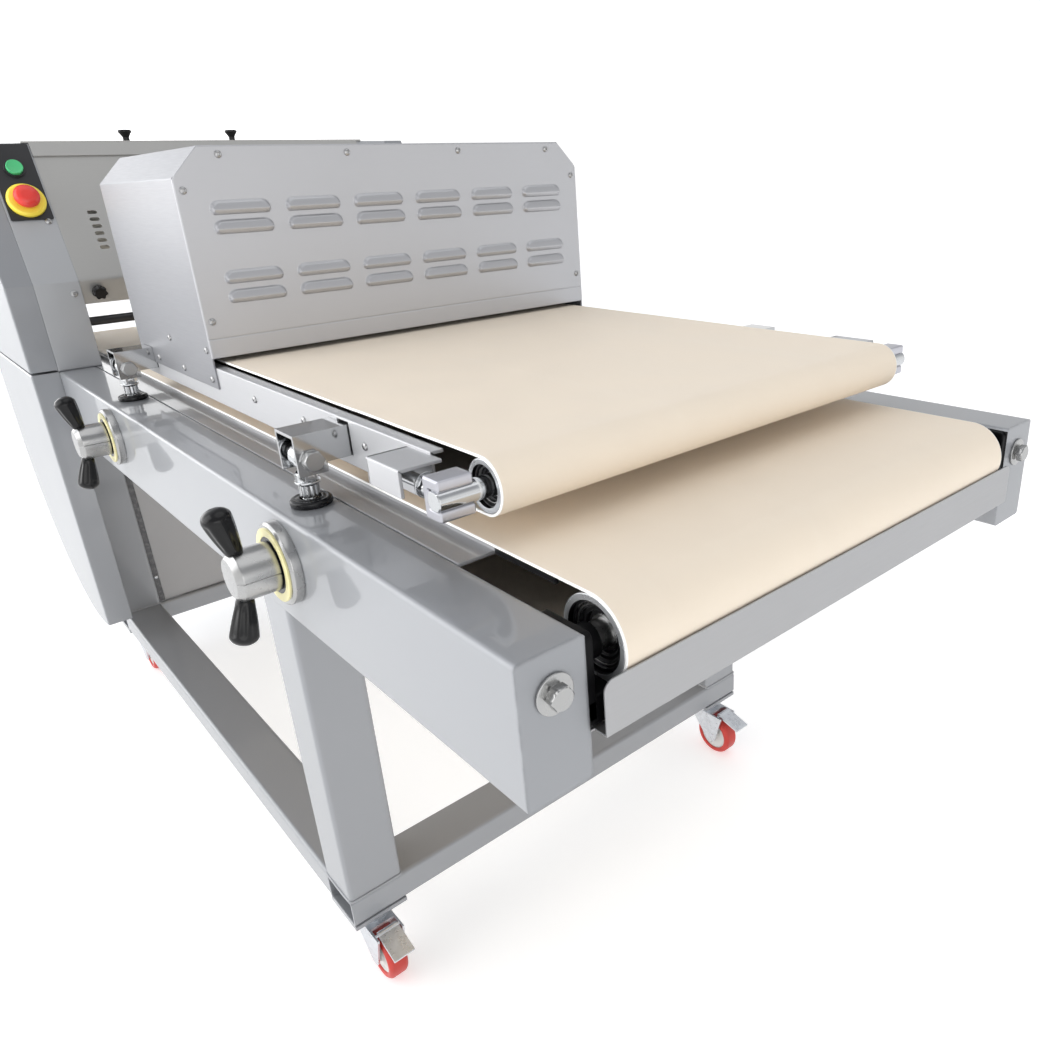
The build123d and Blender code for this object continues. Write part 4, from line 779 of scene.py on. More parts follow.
RED_TREAD = Finish(
    "red_wheel_tread", (0.50, 0.035, 0.025), (0.35, 0.5), cloud=(0.1, 0.02), bump=(0.00004, 0.0015),
    rim=0.001)
WHEEL_CORE = Finish(
    "pale_wheel_core", (0.62, 0.62, 0.60), (0.35, 0.5), cloud=(0.06, 0.02), bump=(0.00003, 0.0015))
# Black of the bearing carriers; also painted shade in the rollers' bores and in the carriers' feet
BEARING_AND_SHADE_BLACK = Finish(
    "bearing_and_painted_shade_black", (0.003, 0.003, 0.0035), (0.4, 0.55), shine=0.12, cloud=(0.15, 0.02), rim=0.0005)
WHITE_PLASTIC = Finish(
    "white_roller_plastic", (0.80, 0.80, 0.77), (0.3, 0.45), cloud=(0.03, 0.06), bump=(0.00003, 0.0015))


# Putting pieces into the scene

def make_piece(name: str, surfaces: Sequence[Surface], finishes: Sequence[Finish], body: str,
               stands_for: str = "") -> bpy.types.Object:
    """Make one object of computed surfaces, ready to move with its body.

    Args:
        name: Name of the piece.
        surfaces: The surfaces that it joins.
        finishes: Finishes that the surfaces' layers count.
        body: CAD body that it moves with.
        stands_for: CAD node that it replaces, if any.

    Returns:
        The object.
    """
    starts = np.cumsum([0] + [len(surface.points) for surface in surfaces[:-1]])
    points = np.concatenate([surface.points for surface in surfaces]) * MM
    faces = [corners for surface, start in zip(surfaces, starts) for block in surface.faces
             for corners in (block + start).tolist()]
    mesh = bpy.data.meshes.new(name)
    mesh.from_pydata(points.tolist(), [], faces)
    layers = [np.broadcast_to(surface.layers, sum(map(len, surface.faces))) for surface in surfaces]
    mesh.polygons.foreach_set("material_index", np.concatenate(layers))
    if surfaces[0].uv is not None:
        corner = np.empty(len(mesh.loops), np.int32)
        mesh.loops.foreach_get("vertex_index", corner)
        flat = np.concatenate([surface.uv for surface in surfaces])[corner]
        mesh.uv_layers.new(name="UVMap").data.foreach_set("uv", flat.astype(np.float32).ravel())
    for finish in finishes:
        mesh.materials.append(finish.material())
    tidy(mesh)
    piece = put(name, mesh)
    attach(piece, body)
    if stands_for:
        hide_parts(stands_for)
    LOG.info("%s: %d faces on %s", name, len(mesh.polygons), body)
    return piece


def remake(node: str, made: str, surfaces: Sequence[Surface], finishes: Sequence[Finish], body: str) -> bpy.types.Object:
    """Make the piece that stands for a CAD node, named for the node and for how it is made."""
    return make_piece(f"{node}_{made}", surfaces, finishes, body, node)


def tidy(mesh: bpy.types.Mesh) -> None:
    """Merge the seams and poles of a mesh, turn its surfaces outwards and shade it with sharp creases.

    Args:
        mesh: Closed surfaces.
    """
    work = bmesh.new()
    work.from_mesh(mesh)
    bmesh.ops.remove_doubles(work, verts=work.verts, dist=MERGE)
    bmesh.ops.dissolve_degenerate(work, edges=work.edges, dist=MERGE)
    bmesh.ops.recalc_face_normals(work, faces=work.faces)
    work.to_mesh(mesh)
    work.free()
    mesh.polygons.foreach_set("use_smooth", np.ones(len(mesh.polygons), bool))
    mesh.set_sharp_from_angle(angle=math.radians(CREASE))


def put(name: str, data: bpy.types.ID) -> bpy.types.Object:
    """Put a mesh, light or camera into the scene.

    Args:
        name: Name of the object.
        data: What it shows.

    Returns:
        The object.
    """
    thing = bpy.data.objects.new(name, data)
    bpy.context.scene.collection.objects.link(thing)
    return thing


def dress(finish: Finish, *nodes: str) -> None:
    """Give CAD nodes a finish in place of their plain material.

    Args:
        finish: The finish.
        nodes: Names of the nodes.
    """
    for node in nodes:
        mesh = frame["nodes"][node].data
        mesh.materials.clear()
        mesh.materials.append(finish.material())
        LOG.info("%s: dressed in %s", node, finish.name)


# Sub-assemblies

@dataclass
class EndlessBelt:
    """A woven belt round two equal rollers."""

    node: str
    body: str
    rests_on: tuple[str, ...]
    sag: float = 0.0  # of the lower run
    thick: float = 2.5
    edge: float = 1.0  # width of the uncoated white edge
    wander: float = 0.35  # how far the cut edges stray sideways
    steps: tuple[int, int, int] = (28, 64, 12)  # in a half turn, in a straight run and across

    def build(self) -> None:
        """Carry the belt's section round its rollers.

        A point lies at the walk's centre plus its outward way times the inner radius and the section's depth.
        Its place across is the section's, moved by two slow sine waves along the edges.
        """
        low, high = span(self.node)
        outer = (high[2] - low[2]) / 2
        middle = (high[2] + low[2]) / 2
        rear = np.array((low[0] + outer, middle))
        front = np.array((high[0] - outer, middle))
        bend, run, _ = self.steps
        centres, outward, walked = stadium(rear, front, outer - self.thick / 2, bend, run)
        half = (high[1] - low[1]) / 2
        section = self.section(half)
        depth = outer - self.thick + section[None, :, 1]
        loop = walked[-1]
        turn = TURN * walked / loop
        stray = self.wander * (np.sin(5 * turn) + np.sin(13 * turn + 1.0)) / 2
        across = section[None, :, 0] + stray[:, None] * np.sign(section[None, :, 0])
        share = np.clip((centres[:, 0] - rear[0]) / (front[0] - rear[0]), 0.0, 1.0)
        hang = self.sag * 4 * share * (1 - share) * (outward[:, 1] < 0)
        x = centres[:, :1] + outward[:, :1] * depth
        z = centres[:, 1:] + outward[:, 1:] * depth - hang[:, None]
        points = np.stack((x, across + 0 * x, z), axis=-1).reshape(-1, 3)
        faces = grid_faces(len(walked), len(section), wrap_columns=True)
        uv = np.stack((walked[:, None] + 0 * x, across + 0 * x), axis=-1).reshape(-1, 2) * MM
        column = np.abs(section[:, 0] + np.roll(section[:, 0], -1)) / 2 > half - self.edge
        layers = np.tile(column.astype(int), len(walked) - 1)
        belt = remake(self.node, "woven", [Surface(points, [faces], layers, uv)], (BELTING, CUT_EDGE),
                      self.body)

    def section(self, half: float) -> Array:
        """Give the belt's cross-section: a flat rectangle with rounded cut edges and a line beside each edge.

        Args:
            half: Half the belt's width.

        Returns:
            Place across and depth of each point, once round.
        """
        inner = half - self.edge
        ways = np.linspace(-inner, inner, self.steps[2] + 1)
        bottom = np.stack((ways, 0 * ways), axis=1)
        round_edge = soften(((inner, 0), (half, 0), (half, self.thick), (inner, self.thick)), 0.9)
        top = np.stack((-ways, 0 * ways + self.thick), axis=1)
        return np.concatenate((bottom[:-1], round_edge[:-1], top[:-1], -round_edge[:-1] + (0, self.thick)))


@dataclass
class Roller:
    """A steel roller with a recessed bearing in each end."""

    node: str
    radius: float
    wall: float  # width of the bright rim
    shaft: float
    recess: float = 9.0  # depth of the bearing inside the tube's end
    fixed_shaft: bool = False  # whether the shaft belongs to another body
    sprocket: Pair | None = None  # radius and width of a sprocket on the near end

    def build(self) -> None:
        """Turn the tube, its bearings and its shaft about the roller's axis."""
        low, high = span(self.node)
        x, _, z = middle_of(self.node)
        half = span("upper_belt" if self.node.startswith("upper") else "lower_belt")[1][1]
        near_end = Seat((x, low[1], z), FARWARD)
        surfaces = [self.tube(Seat((x, 0.0, z), FARWARD), half)]
        for side in Side:
            surfaces += self.bearing(Seat((x, side.value * (half - self.recess), z), side.way))
        if not self.fixed_shaft:
            surfaces.append(plain_rod(near_end, self.shaft, high[1] - low[1], 1.2, 3))
        if self.sprocket is not None:
            radius, wide = self.sprocket
            surfaces.append(turned_solid(near_end, band(0, wide, 0, radius), 1.0, 120, toothed, 3))
        finishes = (RIM_STEEL, SEAL_BLACK, BEARING_AND_SHADE_BLACK, TURNED_STEEL)
        remake(self.node, "turned", surfaces, finishes, self.node)

    def tube(self, seat: Seat, half: float) -> Surface:
        """Turn the tube with bevelled bright rims and a near-black bore, painted shade, that reaches to the
        bearing seats.

        Args:
            seat: Middle of the roller, along its axis.
            half: Half the tube's length.

        Returns:
            The tube.
        """
        inner = self.radius - self.wall
        facets = 72
        profile = soften(band(-half, half, inner, self.radius), 1.0, closed=True)
        tube = turned(seat, profile, facets, ring=True)
        middle = (profile[:, 1] + np.roll(profile[:, 1], -1)) / 2
        # The bore takes the near-black finish: painted shade inside the tube's ends
        tube.layers = np.repeat(np.where(middle < inner + 0.3, 2, 0), facets)
        return tube

    def bearing(self, seat: Seat) -> list[Surface]:
        """Turn a bearing: stepped black seals with a steel shield, down to a steel ring round the shaft.

        Args:
            seat: Middle of the bearing's face, facing out of the roller.

        Returns:
            The seals, the shield and the ring.
        """
        outer = self.radius - self.wall + 0.2
        steps = outer - (outer - self.shaft) * np.array((0.22, 0.45, 0.68, 0.86))
        hole = self.shaft + 0.05 if self.fixed_shaft else self.shaft - 0.5
        back = -6.0
        seals = ((back, steps[3]), (back, outer), (5.5, outer), (5.0, steps[0] + 0.8), (2.5, steps[0]),
                 (2.5, steps[1] + 0.8), (0.0, steps[1]), (0.0, steps[2] + 0.8), (-2.5, steps[2]),
                 (-2.5, steps[3]))
        lip = steps[0] - 0.3
        return [turned_ring(seat, seals, 0.6, layer=1),
                turned_ring(seat, band(1.5, 3.2, lip - 1.6, lip), 0.4, layer=3),
                turned_ring(seat, band(back, -1.5, hole, steps[3]), 0.6, layer=3)]


@dataclass
class BearingCarriers:
    """Black bearing carriers on the beams' inner faces, with their blocks inside the beams."""

    plate: Point = (56.0, 80.0, 8.0)  # length, height and thickness
    drop: float = 15.0  # of the plate's middle below the shaft
    step: float = 26.0  # height of the thick foot, a black block that stands for the shade below the roller ends
    neck: float = 14.8  # radius round the shaft
    bore: float = 13.2  # radius of its hole
    clear: float = 3.0  # gap to the belt's edge
    block: Pair = (40.0, 50.0)  # length and height
    block_in: float = 4.0  # how far a block starts inside the beam

    def build(self) -> None:
        """Build a plate with a thick foot, a round neck, and a block inside the beam at every shaft end; the
        black foot stands for the shade below the roller ends.
        """
        inside = -span("near_beam")[1][1]
        reach = inside - span("lower_belt")[1][1] - self.clear
        deep = span("roller_bearing_blocks")[1][1] - inside - self.block_in
        length, height, thick = self.plate
        bored = np.array(band(0, deep, self.bore, sum(self.block)))
        surfaces = []
        for node in ("lower_front_roller", "lower_drive_roller"):
            x, _, z = middle_of(node)
            for side in Side:
                inward = (0.0, -side.value, 0.0)
                wall = side.value * inside
                neck = Seat((x, wall, z), inward)
                plate = Seat((x, wall, z - self.drop), inward)
                foot = Seat((x, wall, z - self.drop - (height - self.step) / 2), inward)
                block = Seat((x, wall + side.value * self.block_in, z), side.way)
                surfaces += [turned_ring(neck, band(0, reach, self.bore, self.neck), 1.5),
                             prism(plate, rectangle(length, height, 7.0), thick, 1.0),
                             prism(foot, rectangle(length, self.step, 4.0), reach, 1.0),
                             turned(block, bored, 80, self.square, ring=True)]
        make_piece("roller_bearing_carriers", surfaces, (BEARING_AND_SHADE_BLACK,), "frame",
                   "roller_bearing_blocks")

    def square(self, along: Array, radius: Array, angle: Array) -> Array:
        """Cut a block's outside: the radius to a rectangle is half a side over the sine or cosine."""
        level, upright = (side / 2 / np.maximum(np.abs(wave), MERGE)
                          for side, wave in zip(self.block, (np.sin(angle), np.cos(angle))))
        return np.minimum(radius, np.minimum(level, upright))


@dataclass
class HoodCover:
    """The upper conveyor's hood: a folded shell, a front panel with pressed louvres, and round screws."""

    chamfer: float = 36.0  # size of the cut upper corners
    sheet: float = 1.6  # thickness of the panel
    step: float = 6.0  # greatest distance between the panel's grid lines
    columns: int = 6  # louvres in a row
    pitch: float = 95.6  # from louvre to louvre
    rows: Sizes = (183.0, 160.0, 99.3, 75.2)  # heights above the panel's lower edge
    length: float = 76.0
    height: float = 16.5
    rise: float = 5.6  # how far a louvre stands out
    corner: float = 13.0  # length of its rounded ends
    crest: float = 0.35  # share of its height at which it is widest
    under: float = 0.48  # share by which the outline reaches down from there
    shoulder: float = 0.3  # share of its depth over which the outline rises
    fall: float = 0.7  # share of its rise lost at its upper edge
    lip: Pair = (0.35, 0.38)  # share of its rise left at the open lip, share of its height that the lip takes
    seam: float = 24.5  # height of the fold line
    fold: float = 1.8  # radius of the rounded rim
    wrap: float = 0.4  # how far it stands out over the shell
    screw: Pair = (4.6, 3.0)  # radius and height of a head
    inset: float = 10.0  # of the panel's screws
    front_screws: Pair = (204.0, 46.5)  # heights at the panel's sides
    top_screws: Sizes = (-0.81, -0.27, 0.29, 0.81)  # shares of half its width
    plate_screws: Sizes = (604.0, 459.0, 314.0)  # places along X in a side plate
    side_screws: tuple[Sizes, float] = ((-73.0, 50.0, 170.0), 4.5)  # along X, above the plate's
    foot_screws: tuple[Sizes, float] = ((10.0, 171.0), 9.5)  # along X, above the edge
    bolt: Sizes = (10.5, 1.2, 19.0, 6.5)  # washer radius and thickness, width across flats, height
    pin: Pair = (6.0, 15.0)  # radius of a clevis bolt, distance inside the studs' outer edge

    def build(self) -> None:
        """Build the panel and the screws, and dress the shell."""
        self.panel()
        self.screws()
        dress(SHELL_STEEL_DARKENED, "hood_shell")

    def lines(self, sites: Array, offsets: Sequence[float], low: float, high: float) -> Array:
        """List grid lines: the offsets round every site, filled up evenly, and close lines at both rims.

        Args:
            sites: Places that need lines of their own.
            offsets: Those lines' distances from a site.
            low: First line.
            high: Last line.

        Returns:
            The lines in order, without doubles.
        """
        own = (sites[:, None] + np.array(offsets)[None, :]).ravel()
        even = np.arange(low, high, self.step)
        clear = np.abs(even[:, None] - sites[None, :]).min(axis=1) > np.abs(offsets).max() + 1.0
        rim = np.array((0.0, 0.1, 0.4, 0.9, 1.6, 2.3, self.fold, self.fold + 1.5, self.fold + 4.0))
        return np.unique(np.concatenate((own, even[clear], low + rim, high - rim)))

    def panel(self) -> None:
        """Press the louvres into the front panel.

        The panel is a height field over (y, z), raised inside the louvres, whose lower walls are left open.
        Its own rim falls back in a quarter round, a fold line runs across it, and it narrows over the cut
        corners.
        """
        low, high = span("hood_front_panel")
        face = span("hood_shell")[1][0] + self.sheet
        half = high[1]
        across = (np.arange(self.columns) - (self.columns - 1) / 2) * self.pitch
        bases = low[2] + np.array(self.rows) - self.height / 2
        reach = self.length / 2
        round_shares = np.array((0.02, 0.05, 0.1, 0.16, 0.23, 0.31, 0.4, 0.5, 0.6, 0.7, 0.8, 0.9, 1.0))
        ends = reach - self.corner * round_shares
        side = np.concatenate(((0.0, 10.0), ends[::-1], (reach, reach + 0.4)))
        shares = (0.04, 0.08, 0.13, 0.19, 0.26, 0.34, 0.43, 0.52, 0.61, 0.70, 0.78, 0.85, 0.91, 0.96, 1.0)
        ups = (-0.6, -0.02, 0.0, *(self.height * share for share in shares), self.height + 0.6)
        y = self.lines(across, (*-side[1:], *side), -half, half)
        seam = low[2] + self.seam
        z = self.lines(np.append(bases, seam), ups, low[2], high[2])
        z = np.unique(np.append(z, seam + np.array((-4.0, -2.0, -1.0, -0.5, 0.0, 0.5, 1.0, 2.0, 4.0))))
        column = np.abs(y[None, :, None] - across).min(axis=2)
        above = z[:, None] - bases
        row = np.where((above > -3.0) & (above < self.height + 3.0), above, np.inf).min(axis=1)
        raised = self.louvre(column, row[:, None])
        groove = -0.5 * (1 - smooth(np.abs(z - seam)))[:, None]
        width = np.minimum(half, half - self.chamfer + (high[2] - z)) + self.wrap
        to_rim = np.minimum(half - np.abs(y)[None, :], (high[2] - z)[:, None])
        drop = self.fold - np.sqrt(np.maximum(self.fold ** 2 - np.maximum(self.fold - to_rim, 0.0) ** 2, 0.0))
        x = face + raised + groove - drop
        top = self.wrap * smooth((z - high[2] + self.chamfer) / self.chamfer)
        wall = (row[:-1] < 0) & (row[1:] >= 0)
        mouth = (column[0, :-1] < reach - 1.5) & (column[0, 1:] < reach - 1.5)
        keep = ~(wall[:, None] & mouth[None, :])
        surface = thickened(x, y * (width / half)[:, None], (z + top)[:, None], self.sheet, keep)
        remake("hood_front_panel", "pressed", [surface], (HOOD_STEEL,), "upper_conveyor")

    def louvre(self, column: Array, row: Array) -> Array:
        """Give a louvre's height.

        Its depth is one minus the distance from its crest line, measured in an ellipse at the two ends, above
        and below. The height is a quarter sine of the depth near the outline, times a ramp that grows evenly
        towards the lower edge and falls back at the open lip.

        Args:
            column: Distance from the louvre's middle across.
            row: Distance above its lower edge.

        Returns:
            The height above the panel.
        """
        beside = np.maximum(column - self.length / 2 + self.corner, 0.0) / self.corner
        share = row / self.height
        over = (share - self.crest) / (1.0 - self.crest)
        depth = 1.0 - np.hypot(beside, np.where(over > 0.0, over, (self.crest - share) / self.under))
        outline = np.sin(np.clip(depth / self.shoulder, 0.0, 1.0) * QUARTER)
        ramp = 1.0 - self.fall * np.clip(over, 0.0, 1.0)
        left, taken = self.lip
        open_lip = left + (1.0 - left) * np.sin(np.clip(share / taken, 0.0, 1.0) * QUARTER)
        raised = self.rise * outline * ramp * open_lip
        return np.where((row >= 0.0) & np.isfinite(row), raised, 0.0)

    def screws(self) -> None:
        """Turn the round-head screws of the hood and side plates, and the hexagon bolts of the clevises."""
        low, high = span("hood_front_panel")
        face = span("hood_shell")[1][0] + self.sheet
        half = high[1]
        eye = span("front_lift_studs")[1]
        plate_y = span("upper_bed")[1][1] + SidePlates.sheet + 1.0
        plate_z = middle_of("upper_side_plates")[2]
        side_x, side_up = self.side_screws
        foot_x, foot_up = self.foot_screws
        radius, thick, across, height = self.bolt
        surfaces = []
        for side in Side:
            places = [(x, plate_y, plate_z) for x in self.plate_screws]
            places += [(x, half, plate_z + side_up) for x in side_x]
            places += [(x, half, low[2] + foot_up) for x in foot_x]
            surfaces += [round_screw(Seat((x, side.value * y, z), side.way), *self.screw)
                         for x, y, z in places]
            y = side.value * (half - self.inset)
            surfaces += [round_screw(Seat((face, y, low[2] + up), AHEAD), *self.screw)
                         for up in self.front_screws]
            y, z = side.value * (eye[1] - self.pin[1]), eye[2] - STUD_EYE
            for end in ("front", "rear"):
                start, stop = (corner[0] for corner in span(f"{end}_cross_bar"))
                for x, way in ((start, -1), (stop, 1)):
                    surfaces.append(washer(Seat((x, y, z), (way, 0, 0)), radius, thick))
                    surfaces.append(hex_head(Seat((x + way, y, z), (way, 0, 0)), across, height))
                surfaces.append(plain_rod(Seat((start, y, z), AHEAD), self.pin[0], stop - start))
        surfaces += [round_screw(Seat((face, share * half, high[2] - self.inset), AHEAD), *self.screw)
                     for share in self.top_screws]
        remake("upper_fasteners", "turned", surfaces, (SCREW_STEEL,), "upper_conveyor")


@dataclass
class SidePlates:
    """The upper conveyor's folded side plates, slotted for the cross bars, with open tension housings."""

    sheet: float = 3.0
    flange: float = 13.0  # width of a plate's top flange
    bend: float = 2.0  # length of the rounding at a fold
    drop: float = 6.0  # how far a plate hangs below its solid
    short: float = 16.0  # how far a plate ends behind its housing
    slot: float = 32.0  # height, from the cross bar's top
    slack: Point = (2.5, 2.6, 26.0)  # gap in front of a cross bar, gap above it, length of the gap above
    housing: Point = (57.0, 40.0, 25.0)  # length, width and height
    sink: float = 3.0  # of a housing's top below the plate's

    def build(self) -> None:
        """Fold both plates and both housings.

        Each is a line across the machine, rounded at its fold and carried straight along X. The cells of a
        plate's grid that lie inside a cross bar's slot are left out.
        """
        low, high = span("upper_side_plates")
        rear, front = (span(f"{end}_cross_bar") for end in ("rear", "front"))
        length, width, height = self.housing
        ahead, above, run = self.slack
        out, top = high[1] - width, high[2]
        bar_top, bar_low = front[1][2], rear[1][2] - self.slot
        fold = soften(((out - self.flange, top), (out, top), (out, bar_top + above)), self.bend)
        levels = np.array([(out, z) for z in (bar_top, bar_low, low[2] - self.drop)])
        x = np.array((low[0], rear[0][0], rear[1][0] + ahead, front[0][0], front[1][0] + ahead - run,
                      front[1][0] + ahead, high[0] - self.short))
        section = np.concatenate((fold, levels))
        keep = np.ones((len(section) - 1, len(x) - 1), bool)
        keep[-2, [1, 3, 4]] = False
        keep[-3, 4] = False
        cover_top = top - self.sink
        cover = soften(((out - self.sheet / 2, cover_top), (out + width, cover_top),
                        (out + width, cover_top - height)), self.bend)
        cover_x = np.array((high[0] - length, high[0]))
        surfaces = []
        for side in Side:
            for line, along, cells in ((section, x, keep), (cover, cover_x, None)):
                across = side.value * line[:, :1]
                surfaces.append(thickened(along, across, line[:, 1:], self.sheet, cells, side is Side.NEAR))
            ends = sorted((side.value * out, side.value * (out + width)))
            surfaces.append(box_form((cover_x[0], ends[0], cover_top - height),
                                     (cover_x[0] + self.sheet, ends[1], cover_top), self.sheet / 3))
        remake("upper_side_plates", "folded", surfaces, (PLATE_STEEL,), "upper_conveyor")


@dataclass
class LiftGear:
    """Handles, flanges, cams, bushes and studs that raise the two ends of the upper conveyor."""

    flange: Pair = (44.0, 12.0)  # radius and thickness
    bore: float = 12.0  # radius of the hole in a flange
    ring: Pair = (39.0, 30.0)  # outer and inner radius of the yellow ring
    hub: Pair = (26.0, 42.0)  # radius and length
    hub_bevel: float = 6.0  # on the hub's outer end
    shaft: float = 10.0
    arm: Pair = (7.0, 26.0)  # radius, and distance from the hub's inner end
    dish: float = 13.0  # lean of the arms outwards, in degrees
    grip: Sizes = (24.0, 51.0, 8.0, 15.2)  # start along the arm, length, root radius and tip radius
    dome: float = 0.76  # share of a grip's length at which its dome starts
    cam: Sizes = (20.0, 20.0, 16.0, 60.0)  # least radius, lift, width, and the blank's radius
    shank: Pair = (8.0, 2.0)  # radius and pitch of a stud's thread
    sleeve: float = 17.0  # height of a stud's fluted collar
    nut: Pair = (21.0, 9.0)  # width across flats and height
    eye_half: float = 9.0  # half the length of a stud's eye

    def build(self) -> None:
        """Build both handles with their flanges, the bushes and the studs."""
        self.flanges()
        self.bushes()
        for end, x in self.stations().items():
            self.handle(end, x)
            self.studs(end, x)

    def stations(self) -> dict[str, float]:
        """Give the place along X of the front and the rear lift."""
        low, high = span("handle_flanges")
        return {"front": high[0] - self.flange[0], "rear": low[0] + self.flange[0]}

    def flanges(self) -> None:
        """Turn the flanges, each with a yellow ring and a thin black one in front."""
        radius, thick = self.flange
        outer, inner = self.ring
        bore = self.bore
        y, z = span("handle_flanges")[1][1], middle_of("handle_flanges")[2]
        corners = ((0, bore), (0, radius), (thick - 2.5, radius), (thick, radius - 2.5), (thick, bore))
        surfaces = []
        for x in self.stations().values():
            seat = Seat((x, y, z), NEARWARD)
            surfaces += [turned_ring(seat, corners, 0.6, 96),
                         turned_ring(seat, band(thick - 1, thick + 2, inner, outer), 0.7, 96, 1),
                         turned_ring(seat, band(thick - 1, thick + 1.6, bore, inner), 0.5, layer=2)]
        remake("handle_flanges", "turned", surfaces, (TURNED_STEEL, PALE_YELLOW, BLACK_RUBBER), "frame")

    def handle(self, end: str, x: float) -> None:
        """Turn one handle's hub, arms, shaft and cams, and its two ribbed grips.

        Args:
            end: End of the upper conveyor that it lifts.
            x: Its place along X.
        """
        name = f"{end}_handle"
        low, high = span(name)
        z = middle_of("handle_flanges")[2]
        radius, length = self.hub
        hub_y = low[1] + length
        bevel = self.hub_bevel
        corners = ((0, 0), (0, radius), (length - bevel, radius), (length, radius - bevel), (length, 0))
        surfaces = [turned_solid(Seat((x, hub_y, z), NEARWARD), corners, 0.7, 180, self.split),
                    plain_rod(Seat((x, hub_y, z), FARWARD), self.shaft, high[1] - hub_y)]
        lift_y = span("lift_bushes")[1][1] - STUD_INSET
        wide, blank = self.cam[2:]
        for side in Side:
            seat = Seat((x, side.value * lift_y + wide / 2, z), NEARWARD)
            surfaces.append(turned_solid(seat, band(0, wide, 0, blank), 0.8, 96, self.cam_edge))
        grips = []
        lean = math.radians(self.dish)
        start = self.grip[0]
        arm_y = hub_y - self.arm[1]
        for up in (-1, 1):
            way = (0.0, -math.sin(lean), up * math.cos(lean))
            surfaces.append(plain_rod(Seat((x, arm_y, z), way), self.arm[0], start + 4.0))
            grips.append(self.grip_form(Seat((x, arm_y + start * way[1], z + start * way[2]), way)))
        remake(name, "turned", surfaces, (TURNED_STEEL,), name)
        remake(f"{name}_grips", "ribbed", grips, (BLACK_PLASTIC,), name)

    def split(self, along: Array, radius: Array, angle: Array) -> Array:
        """Saw the hub's clamping split: 1 mm off the radius within about a millimetre of its level middle."""
        from_level = np.abs(np.cos(angle)) * radius
        return radius - np.where(from_level < 0.7, np.minimum(1.0, radius * 0.05), 0.0)

    def cam_edge(self, along: Array, radius: Array, angle: Array) -> Array:
        """Cut a cam: its radius grows evenly over half a turn from straight up, to both sides."""
        share = np.abs((angle + math.pi) % TURN - math.pi) / math.pi
        return np.minimum(radius, self.cam[0] + self.cam[1] * share)

    def grip_form(self, seat: Seat) -> Surface:
        """Turn a grip that swells towards a domed end, with eight flutes that fade at the root and the dome.

        Args:
            seat: Middle of its root and the way that it points.

        Returns:
            The grip.
        """
        _, length, root, tip = self.grip
        rest = 1.0 - self.dome
        ease = np.sin(np.linspace(0.0, 1.0, 12) * QUARTER)
        share = np.concatenate((np.linspace(0.0, self.dome - 0.02, 16), self.dome + rest * ease))
        swell = root + (tip - root) * np.sin(share * QUARTER * 0.95)
        dome = np.sqrt(np.clip(1.0 - np.clip((share - self.dome) / rest, 0.0, 1.0) ** 2.2, 0.0, 1.0))
        profile = np.stack((share * length, swell * dome), axis=1)
        profile = np.concatenate((((0.0, 0.0), (0.0, root * 0.85)), profile[1:]))
        return turned(seat, profile, 120, flutes(8, 1.1, 6.0, length * 0.84, 6.0))

    def bushes(self) -> None:
        """Turn the black bushes with round shoulders and a raised lip round each stud."""
        low, high = span("lift_bushes")
        thick = high[2] - low[2]
        corners = ((0, 10.5), (0, 21.0), (thick * 0.8, 21.0), (thick, 17.5), (thick * 0.85, 15.0),
                   (thick, 13.0), (thick, 10.5))
        surfaces = [turned_ring(Seat((x, side.value * (high[1] - STUD_INSET), low[2]), UP), corners, 2.4)
                    for x in self.stations().values() for side in Side]
        remake("lift_bushes", "moulded", surfaces, (BLACK_RUBBER,), "frame")

    def studs(self, end: str, x: float) -> None:
        """Turn one pair of studs: eye, lock nut, fluted collar and threaded shank.

        Args:
            end: End of the upper conveyor that they lift.
            x: Their place along X.
        """
        node = f"{end}_lift_studs"
        low, high = span(node)
        bush = span("lift_bushes")[1]
        collar = bush[2] + 1.0
        eye_z = high[2] - STUD_EYE
        half, top = self.eye_half, self.sleeve
        radius, pitch = self.shank
        eye = ((-half, 7.0), (-half, 11.5), (-6, STUD_EYE), (6, STUD_EYE), (half, 11.5), (half, 7.0))
        sleeve = ((0, 0), (0, 10.4), (top - 4, 10.2), (top - 2.5, 12.8), (top, 12.8), (top, 0))
        grooves = flutes(12, 1.4, -1.0, top - 3.5, 1.0)
        surfaces = []
        for side in Side:
            y = side.value * (bush[1] - STUD_INSET)
            surfaces += [turned_ring(Seat((x, y, eye_z), AHEAD), eye, 0.8, 56),
                         threaded(Seat((x, y, low[2]), UP), radius, eye_z - half - low[2], pitch),
                         turned_solid(Seat((x, y, collar), UP), sleeve, 0.8, 96, grooves),
                         hex_head(Seat((x, y, collar + top), UP), *self.nut)]
        body = "front_lift_studs" if end == "front" else "upper_conveyor"
        remake(node, "turned", surfaces, (POLISHED,), body)


